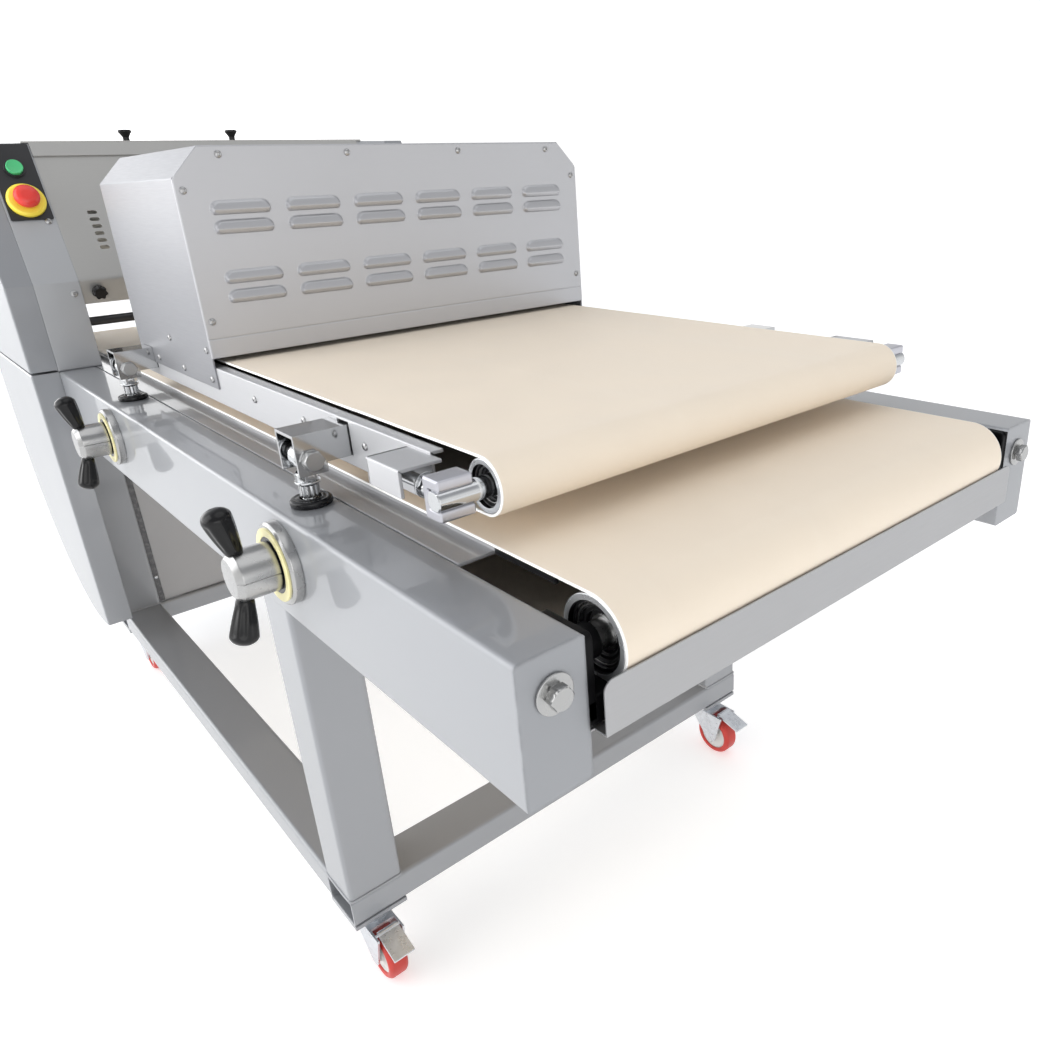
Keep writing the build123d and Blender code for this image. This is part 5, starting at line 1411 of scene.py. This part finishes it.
@dataclass
class TensionGear:
    """Bolts that tension the lower belt, and the yokes that tension the upper one."""

    bolt: Sizes = (16.5, 2.6, 18.0, 9.0)  # washer radius and thickness, width across flats, height
    thread: Pair = (10.0, 2.5)  # radius and pitch
    yoke: Point = (34.0, 18.0, 7.5)  # length across, half height and web
    yoke_back: float = 35.0  # of a yoke's back behind its solid's foremost point
    yoke_in: float = 5.0  # of a yoke inside its solid's outer end
    jaw: Pair = (8.2, 7.0)  # half height of a yoke's slot, reach of its jaws past the shaft's axis
    shaft: Pair = (10.0, 1.2)  # radius and chamfer of the upper front shaft
    rod: Pair = (6.0, 2.0)  # radius and pitch of a threaded rod
    nut: Point = (19.0, 9.0, 22.5)  # width across flats, height, distance behind the yoke's back
    nut_washer: float = 2.0  # thickness

    def build(self) -> None:
        """Build the bolts and the yokes."""
        self.bolts()
        self.yokes()

    def bolts(self) -> None:
        """Turn the two bolts with their washers."""
        low, high = span("belt_tension_bolts")
        radius, thick, across, height = self.bolt
        bolt_radius, pitch = self.thread
        z = (low[2] + high[2]) / 2
        face = span("near_beam")[1][0]
        out = high[1] - (high[2] - low[2]) / 2
        surfaces = []
        for side in Side:
            y = side.value * out
            surfaces += [washer(Seat((face, y, z), AHEAD), radius, thick),
                         washer(Seat((face + thick, y, z), AHEAD), across * 0.46, 1.0),
                         hex_head(Seat((face + thick + 0.6, y, z), AHEAD), across, height - 0.6),
                         threaded(Seat((low[0], y, z), AHEAD), bolt_radius, face - low[0], pitch)]
        remake("belt_tension_bolts", "turned", surfaces, (TURNED_STEEL,), "frame")

    def yokes(self) -> None:
        """Build the forked yokes, their threaded rods and nuts, and the shaft that they hold."""
        low, high = span("tension_yokes")
        length, half, web = self.yoke
        jaw, past = self.jaw
        radius, pitch = self.rod
        across, height, behind = self.nut
        z = (low[2] + high[2]) / 2
        shaft_x = middle_of("upper_front_roller")[0]
        back = high[0] - self.yoke_back
        nut = back - behind
        tip = shaft_x + past
        reach = high[1] - self.yoke_in
        shape = soften(((back, z - half), (tip, z - half), (tip, z - jaw), (back + web, z - jaw),
                        (back + web, z + jaw), (tip, z + jaw), (tip, z + half), (back, z + half)),
                       2.2, closed=True)
        surfaces = []
        for side in Side:
            y = side.value * (reach - length / 2)
            # A near-pointing axis has +X across and +Z above it
            seat = Seat((0.0, y + length / 2, 0.0), NEARWARD)
            surfaces += [prism(seat, shape, length, 1.6, layer=1),
                         threaded(Seat((low[0], y, z), AHEAD), radius, back - low[0] + 2.0, pitch),
                         hex_head(Seat((nut, y, z), AHEAD), across, height),
                         washer(Seat((nut - self.nut_washer, y, z), AHEAD), across * 0.62, self.nut_washer)]
        surfaces.append(self.flatted_shaft(Seat((shaft_x, -reach - 1.0, z), FARWARD), 2 * reach + 2.0))
        remake("tension_yokes", "forked", surfaces, (POLISHED, YOKE_STEEL), "upper_conveyor")

    def flatted_shaft(self, seat: Seat, length: float) -> Surface:
        """Turn the front shaft, cut flat above and below inside both yokes.

        Args:
            seat: Middle of its near end.
            length: Its length.

        Returns:
            The shaft.
        """
        end = self.yoke[0] + 4.0
        far_end = length - end
        radius, chamfer = self.shaft
        profile = ((0, 0), (0, radius - chamfer), (chamfer, radius), (end, radius), (end + 0.1, radius),
                   (far_end - 0.1, radius), (far_end, radius), (length - chamfer, radius),
                   (length, radius - chamfer), (length, 0))
        flat = self.jaw[0] - 0.1

        def cut(along: Array, radius: Array, angle: Array) -> Array:
            """Take the lesser of the radius and the flats' near both ends."""
            flatted = np.minimum(radius, flat / np.maximum(np.abs(np.cos(angle)), MERGE))
            return np.where((along <= end) | (along >= far_end), flatted, radius)

        return turned(seat, np.array(profile), 64, cut)


@dataclass
class SheetingHead:
    """The infeed head: columns, guards, panels, sheeting rollers, knobs and the control panel."""

    lid_knob: Pair = (67.0, 109.0)  # distance from the lid's rear edge, and from the middle
    lip_knob: Pair = (27.0, 22.0)  # distance from the near column, and above the lip's lower edge
    sheet: float = 2.0
    lip: float = 42.0  # height
    tuck: float = 0.22  # how far the lip draws in for each millimetre down
    bend: float = 5.0  # how far from the knee its bend starts
    slot: Pair = (16.0, 7.0)  # length and width of a cooling slot
    slot_side: float = 61.0  # from the panel's side
    slot_rise: Pair = (60.0, 13.5)  # lowest slot above the knee, and step to the next, along the lean
    slots: int = 6  # in a group
    chute_wall: float = 48.0  # height of the chute's side walls
    chute_drop: float = 70.0  # of the chute's floor below the walls' top in the solid
    chute_gap: float = 0.4  # between the chute's walls and the columns
    strip: Pair = (12.0, 0.6)  # width of the dark grey strip beside a leg, painted shade in the gap there, and how far it lies back
    cabinet_lift: float = 0.5  # gap between the cabinet's sheet and the cross tube
    cabinet_screw: Pair = (4.6, 3.2)  # radius and height of a head
    cabinet_screws: Pair = (60.0, 25.0)  # above the sheet's foot, and below its top
    button_foot: float = 5.0  # behind the middle of a button's solid
    column_screw: Pair = (6.0, 3.8)  # radius and height of a head
    column_screws: Point = (59.0, 115.0, 20.7)  # from the column's side, above the knee and below it

    def build(self) -> None:
        """Dress the columns, guards, lid and rollers, and build the sheets, knobs, buttons and screws."""
        dress(COLUMN_PAINT_LIGHTENED, "head_columns")
        dress(GREY_PAINT, "upper_guards", "lower_guards")
        dress(STAINLESS_LONG, "head_lid")
        dress(WHITE_PLASTIC, "front_sheeting_roller", "rear_sheeting_roller")
        dress(BLACK_PAINT, "throat_bar", "control_panel")
        self.panel()
        self.chute()
        self.cabinet()
        self.knobs()
        self.buttons()
        self.covers()

    def lean(self) -> tuple[Array, Array]:
        """Give the leaning face's outward way and its way upwards."""
        out = -np.array(next(row["axis"] for row in frame["joints"] if row["name"] == "estop_press"), float)
        return out, np.array((-out[2], 0.0, out[0]))

    def knee(self) -> Array:
        """Give the middle of the front panel's knee, where its hanging lip starts."""
        low, high = span("head_front_panel")
        return np.array((high[0], 0.0, low[2] + self.lip))

    def panel(self) -> None:
        """Fold the front panel: a hanging lip, a bend at the knee and the leaning sheet with cooling slots.

        Point (i, j) lies at the i-th distance s along the fold and at the j-th place across. Below the knee s
        runs down and a little inwards, above it along the lean, and the bend is drawn in by a small square
        law. The lines at a slot's ends follow half circles, and the cell between them is left out.
        """
        low, high = span("head_front_panel")
        out, up = self.lean()
        knee = self.knee()
        top = (high[2] - knee[2]) / up[2]
        length, width = self.slot
        centres = self.slot_rise[0] + self.slot_rise[1] * np.arange(self.slots)
        arc = width / 2 * np.sin(np.linspace(-1.0, 1.0, 9) * QUARTER)
        bend = self.bend * np.array((-1.0, -0.7, -0.4, -0.2, 0.0, 0.2, 0.4, 0.7, 1.0))
        s = np.unique(np.concatenate((np.linspace(-self.lip, -6.0, 5), bend, np.linspace(6.0, 50.0, 5),
                                      (centres[:, None] + arc).ravel(),
                                      np.linspace(centres[-1] + 8.0, top, 8))))
        middles = np.array((low[1] + self.slot_side, high[1] - self.slot_side))
        ends = (middles[:, None] + np.array((-length, length)) / 2).ravel()
        y = np.unique(np.concatenate((np.linspace(low[1], high[1], 9), ends)))
        from_slot = np.abs(s[:, None] - centres).min(axis=1)
        inside = from_slot <= width / 2 + MERGE
        round_in = width / 2 - np.sqrt(np.maximum((width / 2) ** 2 - from_slot ** 2, 0.0))
        round_in = np.where(inside, round_in, 0.0)
        which = np.isclose(y[:, None], ends).any(axis=1)
        way = np.sign(y - middles[np.abs(y[:, None] - middles).argmin(axis=1)])
        across = y[None, :] - (which * way)[None, :] * round_in[:, None]
        line = knee + np.where(s[:, None] < 0, np.array((self.tuck, 0.0, 1.0)), up) * s[:, None]
        corner = out + np.array(AHEAD)
        drawn = 0.5 * np.maximum(1.0 - np.abs(s) / self.bend, 0.0) ** 2
        line -= corner / np.linalg.norm(corner) * drawn[:, None]
        from_cell = np.abs((s[:-1] + s[1:])[:, None] / 2 - centres).min(axis=1)
        tall = inside[:-1] & inside[1:] & (np.diff(s) < width) & (from_cell < width / 2)
        wide = which[:-1] & which[1:]
        keep = ~(tall[:, None] & wide[None, :])
        sheet = thickened(line[:, :1], across, line[:, 2:], self.sheet, keep)
        remake("head_front_panel", "folded", [sheet], (STAINLESS,), "frame")

    def chute(self) -> None:
        """Fold the feed chute: a U section, its bends rounded, carried straight down its slope."""
        low, high = span("feed_chute")
        half, wall = high[1] - self.sheet - self.chute_gap, self.chute_wall
        section = soften(((half, wall), (half, 0.0), (-half, 0.0), (-half, wall)), 6.0, 6)
        top = np.array((low[0], high[2] - self.chute_drop))
        end = np.array((high[0], low[2] + self.sheet))
        line = top + np.linspace(0.0, 1.0, 9)[:, None] * (end - top)
        sheet = thickened(line[:, :1], section[:, 0], line[:, 1:] + section[:, 1], self.sheet)
        remake("feed_chute", "folded", [sheet], (STAINLESS_ACROSS,), "frame")

    def cabinet(self) -> None:
        """Cut the cabinet's front sheet, standing on the cross tube, with its dark edge strips, painted shade
        beside the legs, and its screws.
        """
        low, high = span("cabinet_panel")
        foot = span("cross_base_tubes")[1][2] + self.cabinet_lift
        width, back = self.strip
        side = high[1] - width
        face = high[0] - back
        heights = (foot + self.cabinet_screws[0], high[2] - self.cabinet_screws[1])
        surfaces = [box_form((low[0], -side, foot), (high[0], side, high[2]), 0.9)]
        for way in Side:
            edges = sorted((way.value * side, way.value * high[1]))
            surfaces.append(box_form((low[0], edges[0], foot), (face, edges[1], high[2]), 0.3, layer=1))
            y = way.value * (side + width / 2)
            surfaces += [round_screw(Seat((face, y, z), AHEAD), *self.cabinet_screw, 2) for z in heights]
        remake("cabinet_panel", "sheet", surfaces, (CABINET_STEEL_DARKENED, EDGE_STRIP_SHADE, ZINC), "frame")

    def knobs(self) -> None:
        """Turn the lid's mushroom knobs and the lobed knob on the lip."""
        lid_low, lid_high = span("head_lid")
        panel_low, panel_high = span("head_front_panel")
        ahead, aside = self.lid_knob
        top = span("head_knobs")[1][2] - lid_high[2]
        corners = ((0, 0), (0, 10), (2, 10), (3, 6.5), (top - 14, 6.5), (top - 6, 11.5), (top - 5, 13),
                   (top - 1.5, 13), (top, 11), (top, 0))
        spots = [Seat((lid_low[0] + ahead, side.value * aside, lid_high[2]), UP) for side in Side]
        surfaces = [turned_solid(spot, corners, 1.0, 60) for spot in spots]
        aside, above = self.lip_knob
        lip_x = panel_high[0] - self.tuck * (self.lip - above)
        seat = Seat((lip_x, panel_low[1] + aside, panel_low[2] + above), (1, 0, -self.tuck))
        corners = ((0, 0), (0, 8), (4, 8), (5, 12.8), (15, 13), (18, 10.5), (18, 0))
        surfaces.append(turned_solid(seat, corners, 1.6, 84, flutes(7, 2.4, 4.5, 18.5, 1.5)))
        remake("head_knobs", "moulded", surfaces, (BLACK_PLASTIC,), "frame")

    def buttons(self) -> None:
        """Turn the emergency stop, its yellow ring and the start button on the leaning control panel."""
        out = self.lean()[0]
        seat, start = (Seat(tuple(middle_of(node) - out * self.button_foot), tuple(out))
                       for node in ("estop_base", "start_button"))
        collar = turned_ring(seat, ((0, 11.4), (0, 30), (7, 30), (10, 26.5), (10, 11.4)), 1.2)
        remake("estop_base", "moulded", [collar], (YELLOW_PLASTIC,), "frame")
        corners = ((3, 0), (3, 11), (15.4, 11), (15.4, 20), (24, 20), (29, 16), (31.2, 9), (31.2, 0))
        crown = turned_solid(seat, corners, 2.6, 72)
        remake("estop_button", "mushroom", [crown], (RED_PLASTIC,), "estop_button")
        cap = turned_solid(start, ((0, 0), (0, 13), (9, 13), (10, 12), (9.2, 9), (8.8, 0)), 0.8, 56)
        remake("start_button", "dished", [cap], (GREEN_PLASTIC,), "start_button")

    def covers(self) -> None:
        """Turn the round screws that hold the near and far column covers."""
        out, up = self.lean()
        knee = self.knee()
        aside, above, below = self.column_screws
        surfaces = []
        for side in Side:
            y = side.value * (span("head_columns")[1][1] - aside)
            leaning = knee + up * above + np.array((0.0, y, 0.0))
            surfaces += [round_screw(Seat(tuple(leaning), tuple(out)), *self.column_screw),
                         round_screw(Seat((knee[0], y, knee[2] - below), AHEAD), *self.column_screw)]
        make_piece("column_screws", surfaces, (SCREW_STEEL,), "frame")


@dataclass
class BaseFrame:
    """Side beams, legs, base tubes, belt beds, cross bars and apron, with the weld beads on the legs."""

    leg: Pair = (75.0, 6.0)  # width, and reach of its rounded corners
    bead: float = 2.2  # radius of a weld bead
    ripple: Pair = (0.08, 2.1)  # share by which a bead swells, and its turn from point to point
    facets: int = 10  # steps round a bead

    def build(self) -> None:
        """Dress the frame, the beds, the cross bars and the apron, and lay the welds."""
        dress(GREY_PAINT, "legs", "side_base_tubes", "cross_base_tubes")
        dress(BEAM_PAINT, "near_beam", "far_beam")
        dress(APRON_STEEL, "front_apron")
        dress(DECK_PAINT, "lower_bed")
        dress(STAINLESS_LONG, "upper_bed")
        dress(BRIGHT_BAR, "front_cross_bar", "rear_cross_bar")
        self.welds()

    def welds(self) -> None:
        """Lay a bead round the top and foot of every leg.

        A bead is a circle carried round the leg's rounded outline, swelling a little with each weld ripple.
        """
        low, high = span("legs")
        width, corner = self.leg
        path = rectangle(width, width, corner)
        side = np.roll(path, -1, axis=0) - path
        quarters = [path + side * share for share in (0.0, 0.25, 0.5, 0.75)]
        path = np.concatenate(quarters, axis=1).reshape(-1, 2)
        swell, turn = self.ripple
        thick = self.bead * (1.0 + swell * np.sin(np.arange(len(path)) * turn))[:, None]
        angle = np.arange(self.facets) * TURN / self.facets
        outward = path / np.maximum(np.linalg.norm(path, axis=1, keepdims=True), MERGE)
        reach = thick * np.cos(angle)
        ring = np.stack((path[:, :1] + outward[:, :1] * reach, path[:, 1:] + outward[:, 1:] * reach,
                         thick * np.sin(angle)), axis=-1)
        faces = grid_faces(len(path), self.facets, wrap_rows=True, wrap_columns=True)
        surfaces = []
        for x in (low[0] + width / 2, high[0] - width / 2):
            for y in (low[1] + width / 2, high[1] - width / 2):
                for z in (low[2] + self.bead / 2, high[2] - self.bead / 2):
                    points = (ring + np.array((x, y, z))).reshape(-1, 3)
                    surfaces.append(Surface(points, [faces]))
        make_piece("leg_welds", surfaces, (GREY_PAINT,), "frame")


@dataclass
class Casters:
    """Four swivel casters with red wheels, the front pair with brake pedals."""

    places: tuple[str, ...] = ("near_front", "far_front", "near_rear", "far_rear")

    def build(self) -> None:
        """Turn the wheels and dress forks and pedals."""
        for place in self.places:
            dress(ZINC, f"{place}_caster_fork")
            self.wheel(f"{place}_caster_wheel")
        dress(ZINC, "near_front_brake_pedal", "far_front_brake_pedal")

    def wheel(self, node: str) -> None:
        """Turn one wheel: a crowned tread on a dished core with a bearing boss.

        Args:
            node: CAD solid that it stands for.
        """
        low, high = span(node)
        radius, half = (high[2] - low[2]) / 2, (high[1] - low[1]) / 2
        tread = ((-half + 1, 27.5), (-half, 29.5), (-half, radius - 4), (-half * 0.7, radius),
                 (half * 0.7, radius), (half, radius - 4), (half, 29.5), (half - 1, 27.5))
        core = ((-half, 5.1), (-half, 9.5), (-half + 4, 11), (-half + 5, 26), (-half + 1.5, 28.5),
                (half - 1.5, 28.5), (half - 5, 26), (half - 4, 11), (half, 9.5), (half, 5.1))
        seat = Seat(tuple(middle_of(node)), FARWARD)
        surfaces = [turned_ring(seat, tread, 2.0), turned_ring(seat, core, 1.2, 60, 1)]
        remake(node, "turned", surfaces, (RED_TREAD, WHEEL_CORE), node)


@dataclass
class Drive:
    """The gearmotors, and the chain to the lower drive roller."""

    pitch: float = 12.7  # between the chain's pins
    ride: float = 2.8  # of the pins' line outside the sprocket
    plate: Pair = (4.6, 1.5)  # half height and thickness of a chain plate
    roll: Pair = (3.6, 5.8)  # radius and length of a chain roller
    shaft: float = 10.0  # radius of the motor's shaft
    gearbox: Pair = (110.0, 90.0)  # width and length
    motor: Pair = (65.0, 210.0)  # radius and length
    foot: Point = (120.0, 10.0, 1.5)  # half length, thickness, gap to the cabinet's sheet
    cover: Point = (34.0, 8.0, 4.0)  # radius of the bolts' circle, width across flats and head height
    ribbed: Pair = (9.0, 160.0)  # where the cooling ribs start and end along the motor
    ribs: tuple[int, float] = (36, 7.0)  # number and depth

    def build(self) -> None:
        """Build the chain, its sprocket and the main gearmotor, and dress the upper one."""
        self.chain()
        self.sprocket()
        self.gearmotor()
        dress(MOTOR_ENAMEL, "upper_motor")

    def chain(self) -> None:
        """Lay links along the loop round both sprockets.

        One link, two waisted plates and a roller, is repeated at every pitch: its points are turned by each
        place's ahead and outward ways and moved there, all links in one array.
        """
        low, high = span("motor_sprocket")
        rear = middle_of("motor_sprocket")[[0, 2]]
        front = np.array((middle_of("lower_drive_roller")[0], middle_of("lower_front_roller")[2]))
        radius = (high[2] - low[2]) / 2 + self.ride
        centres, outward, walked = stadium(rear, front, radius, 64, 64)
        count = int(walked[-1] / self.pitch)
        stops = np.arange(count) * walked[-1] / count
        line = centres + outward * radius
        stations, out = (np.stack([np.interp(stops, walked, part) for part in ways.T], axis=1)
                         for ways in (line, outward))
        out /= np.linalg.norm(out, axis=1, keepdims=True)
        ahead = np.stack((out[:, 1], -out[:, 0]), axis=1)
        link = self.link(middle_of("drive_chain")[1])
        along, level, above = (link.points[None, :, axis, None] for axis in (0, 1, 2))
        flat = stations[:, None] + ahead[:, None] * along + out[:, None] * above
        level = np.repeat(level, count, axis=0)
        points = np.concatenate((flat[..., :1], level, flat[..., 1:]), axis=-1).reshape(-1, 3)
        shift = (np.arange(count) * len(link.points))[:, None, None]
        faces = [(block[None] + shift).reshape(-1, block.shape[1]) for block in link.faces]
        remake("drive_chain", "links", [Surface(points, faces)], (OILED_STEEL,), "frame")

    def link(self, y: float) -> Surface:
        """Build one chain link about the origin: two plates with a waist, and one roller.

        Args:
            y: Its middle across the machine.

        Returns:
            The link.
        """
        half, thick = self.plate
        radius, length = self.roll
        pin = self.pitch / 2
        reach, waist = pin + half * 0.9, half * 0.65
        outline = np.array(((-reach, -1.8), (-pin, -half), (0, -waist), (pin, -half), (reach, -1.8),
                            (reach, 1.8), (pin, half), (0, waist), (-pin, half), (-reach, 1.8)))
        edges = (-length / 2, length / 2 + thick)
        parts = [prism(Seat((0.0, y + edge, 0.0), NEARWARD), outline, thick, 0.3) for edge in edges]
        roller = np.array(band(0, length, 0, radius))
        parts.append(turned(Seat((pin, y + length / 2, 0.0), NEARWARD), roller, 8))
        starts = np.cumsum([0] + [len(part.points) for part in parts[:-1]])
        faces = [block + start for part, start in zip(parts, starts) for block in part.faces]
        return Surface(np.concatenate([part.points for part in parts]), faces)

    def sprocket(self) -> None:
        """Turn the motor's sprocket with its shaft."""
        low, high = span("motor_sprocket")
        radius = (high[2] - low[2]) / 2
        x, _, z = middle_of("motor_sprocket")
        seat = Seat((x, low[1], z), FARWARD)
        disc = ((0, 0), (0, 14), (2.5, 14), (2.5, radius), (7.5, radius), (7.5, 16), (10, 16), (10, 0))
        surfaces = [turned_solid(seat, disc, 0.6, 120, toothed),
                    plain_rod(seat, self.shaft, high[1] - low[1])]
        remake("motor_sprocket", "toothed", surfaces, (OILED_STEEL,), "motor_sprocket")

    def gearmotor(self) -> None:
        """Build the main gearmotor: foot, cast gearbox with a bolted cover, ribbed casing and fan cover."""
        low, high = span("drive_motor")
        x, _, z = middle_of("motor_sprocket")
        width, length = self.gearbox
        radius, reach = self.motor
        half, thick, gap = self.foot
        circle, across, height = self.cover
        start, end = self.ribbed
        face = high[1] - reach
        front = span("cabinet_panel")[0][0] - gap
        rim = radius - 1
        casing = ((0, 0), (0, radius), (start - 1, radius), (start, rim), (end, rim), (end + 1, radius - 9),
                  (end + 5, radius - 9), (end + 6, radius - 2), (reach - 6, radius - 2), (reach, radius - 12),
                  (reach, 0))
        cover = ((-3, 0), (-3, 40), (2.5, 40), (2.5, 16), (1, 14), (1, 0))
        back = min(high[1], face + half)
        side = width / 2
        surfaces = [box_form((low[0], face - half, low[2]), (front, back, low[2] + thick), 3.0, layer=2),
                    box_form((x - side, face - length, low[2] + 8), (x + side, face, z + side), 9.0),
                    turned_solid(Seat((x, face, z), FARWARD), casing, 1.0, 144, self.ribbing),
                    turned_solid(Seat((x, face - length, z), NEARWARD), cover, 0.8, 72)]
        for turn in np.arange(6) * TURN / 6:
            place = (x + circle * math.sin(turn), face - length - 2.0, z + circle * math.cos(turn))
            surfaces.append(hex_head(Seat(place, NEARWARD), across, height, layer=1))
        remake("drive_motor", "cast", surfaces, (MOTOR_ENAMEL, ZINC, GREY_PAINT), "frame")

    def ribbing(self, along: Array, radius: Array, angle: Array) -> Array:
        """Cut cooling ribs into the casing: a clipped cosine between the flange and the fan cover."""
        hold = smooth((along - self.ribbed[0]) / 2.0) * smooth((self.ribbed[1] - along) / 2.0)
        return radius - hold * self.ribs[1] * np.clip(0.5 - 1.3 * np.cos(self.ribs[0] * angle), 0.0, 1.0)


@dataclass
class Studio:
    """Plain pale floor, soft light and the photograph's camera."""

    eye: Point = (1.3536, -0.6449, 1.0216)  # in metres
    target: Point = (0.317, 0.2753, 0.4484)  # point that the camera looks at
    roll: float = 2.4  # to its right, in degrees
    lens: float = 28.87  # in millimetres, for a sensor 36 mm wide
    shift: float = -0.10  # sideways, as a share of the frame's width
    floor_half: float = 20.0  # in metres
    floor_glow: float = 0.42  # strength of the floor's own light
    horizon: Pair = (0.17, 0.50)  # heights between which the surroundings darken
    ceiling: Colour = (0.44, 0.45, 0.47)  # colour of the surroundings above
    glow_way: Point = (-0.85, -0.52, 0.0)  # way in which they are brightest
    glow: Sizes = (0.45, 0.95, 1.06, 3.2)  # nearness where it starts and ends, strengths
    day: Pair = (0.5, 55.0)  # strength, and softness in degrees
    day_turn: Pair = (-12.0, 8.0)  # lean about X and Y in degrees

    def build(self) -> None:
        """Lay the floor, and set the lights, the surroundings and the camera."""
        self.floor()
        self.surroundings()
        self.lamp("upper", (-0.6, -2.9, 2.9), (0.1, -0.1, 0.9), (2.6, 2.6), 36.5)
        self.lamp("side", (0.2, -3.2, 1.55), (0.2, -0.3, 1.45), (4.6, 1.9), 22.0, 60.0, False)
        self.lamp("front", (4.6, -1.6, 1.4), (0.5, 0.0, 0.8), (3.2, 2.0), 25.0)
        self.daylight()
        self.camera()
        view = bpy.context.scene.view_settings
        view.view_transform = "Standard"
        view.look = "None"

    def floor(self) -> None:
        """Lay a wide, flat, pale floor that glows a little."""
        material = bpy.data.materials.new("pale_floor")
        board = Board(material)
        cloud = board.noise(board.place["Object"], (1.5, 1.5, 1.5), 3.0)
        colour = board.blend(cloud, (0.79, 0.79, 0.79), (0.81, 0.81, 0.81))
        gloss = board.ranged(cloud, *NOISE_BAND, 0.7, 0.85)
        board.feed(board.shader, {"Base Color": colour, "Roughness": gloss, "Emission Color": WHITE,
                                  "Emission Strength": self.floor_glow})
        half = self.floor_half
        corners = [(-half, -half, 0), (half, -half, 0), (half, half, 0), (-half, half, 0)]
        mesh = bpy.data.meshes.new("floor")
        mesh.from_pydata(corners, [], [(0, 1, 2, 3)])
        mesh.materials.append(material)
        put("floor", mesh)

    def surroundings(self) -> None:
        """Set a white horizon that darkens towards the ceiling and glows behind the machine's near side."""
        world = bpy.data.worlds.new("studio")
        bpy.context.scene.world = world
        board = Board(world, "Background")
        way = board.place["Generated"]
        height = board.add("SeparateXYZ", {0: way})["Z"]
        ramp = board.add("ValToRGB", {0: board.ranged(height, *self.horizon, 0.0, 1.0)})[0]
        low, high = ramp.node.color_ramp.elements
        low.color = WHITE
        high.color = (*self.ceiling, 1.0)
        near = board.add("VectorMath", {0: way, 1: self.glow_way}, operation="DOT_PRODUCT")["Value"]
        board.feed(board.shader, {"Color": ramp, "Strength": board.ranged(near, *self.glow)})

    def lamp(self, name: str, spot: Point, target: Point, size: Pair, power: float, spread: float = 180.0,
             mirrored: bool = True) -> None:
        """Hang one soft rectangular light.

        Args:
            name: Name of the light.
            spot: Its middle.
            target: Point that it faces.
            size: Its width and height.
            power: Its power in watts.
            spread: Angle over which it shines, in degrees.
            mirrored: Whether bright metal mirrors it.
        """
        data = bpy.data.lights.new(name, "AREA")
        data.shape = "RECTANGLE"
        data.size, data.size_y = size
        data.energy = power
        data.spread = math.radians(spread)
        light = put(name, data)
        light.location = spot
        way = Vector(target) - Vector(spot)
        light.rotation_euler = way.to_track_quat("-Z", "Y").to_euler()
        light.visible_camera = False
        light.visible_glossy = mirrored

    def daylight(self) -> None:
        """Light the whole floor evenly from overhead, with very soft shadows."""
        data = bpy.data.lights.new("daylight", "SUN")
        data.energy = self.day[0]
        data.angle = math.radians(self.day[1])
        light = put("daylight", data)
        light.rotation_euler = (*(math.radians(turn) for turn in self.day_turn), 0.0)

    def camera(self) -> None:
        """Set the camera at the photograph's viewpoint."""
        data = bpy.data.cameras.new("camera")
        data.lens = self.lens
        data.shift_x = self.shift
        data.clip_start = 0.02
        camera = put("camera", data)
        way = Vector(self.target) - Vector(self.eye)
        lean = Matrix.Rotation(math.radians(-self.roll), 3, "Z")
        camera.location = self.eye
        camera.rotation_euler = (way.to_track_quat("-Z", "Y").to_matrix() @ lean).to_euler()
        bpy.context.scene.camera = camera


def main() -> None:
    """Build every sub-assembly in order, then the studio."""
    logging.basicConfig(level=logging.INFO, format="%(message)s")
    assemblies = (
        BaseFrame(),
        EndlessBelt("lower_belt", "frame",
                    ("lower_front_roller", "lower_drive_roller", "lower_bed"), sag=5.0),
        EndlessBelt("upper_belt", "upper_conveyor",
                    ("upper_front_roller", "upper_drive_roller", "upper_bed")),
        Roller("lower_front_roller", 36.0, 5.8, 12.5),
        Roller("lower_drive_roller", 36.0, 5.8, 12.5, sprocket=(19.0, 10.0)),
        Roller("upper_front_roller", 24.0, 5.2, 10.0, fixed_shaft=True),
        Roller("upper_drive_roller", 24.0, 5.2, 10.0),
        BearingCarriers(),
        HoodCover(),
        SidePlates(),
        LiftGear(),
        TensionGear(),
        SheetingHead(),
        Casters(),
        Drive(),
        Studio(),
    )
    for assembly in assemblies:
        assembly.build()


if __name__ == "__main__":
    main()
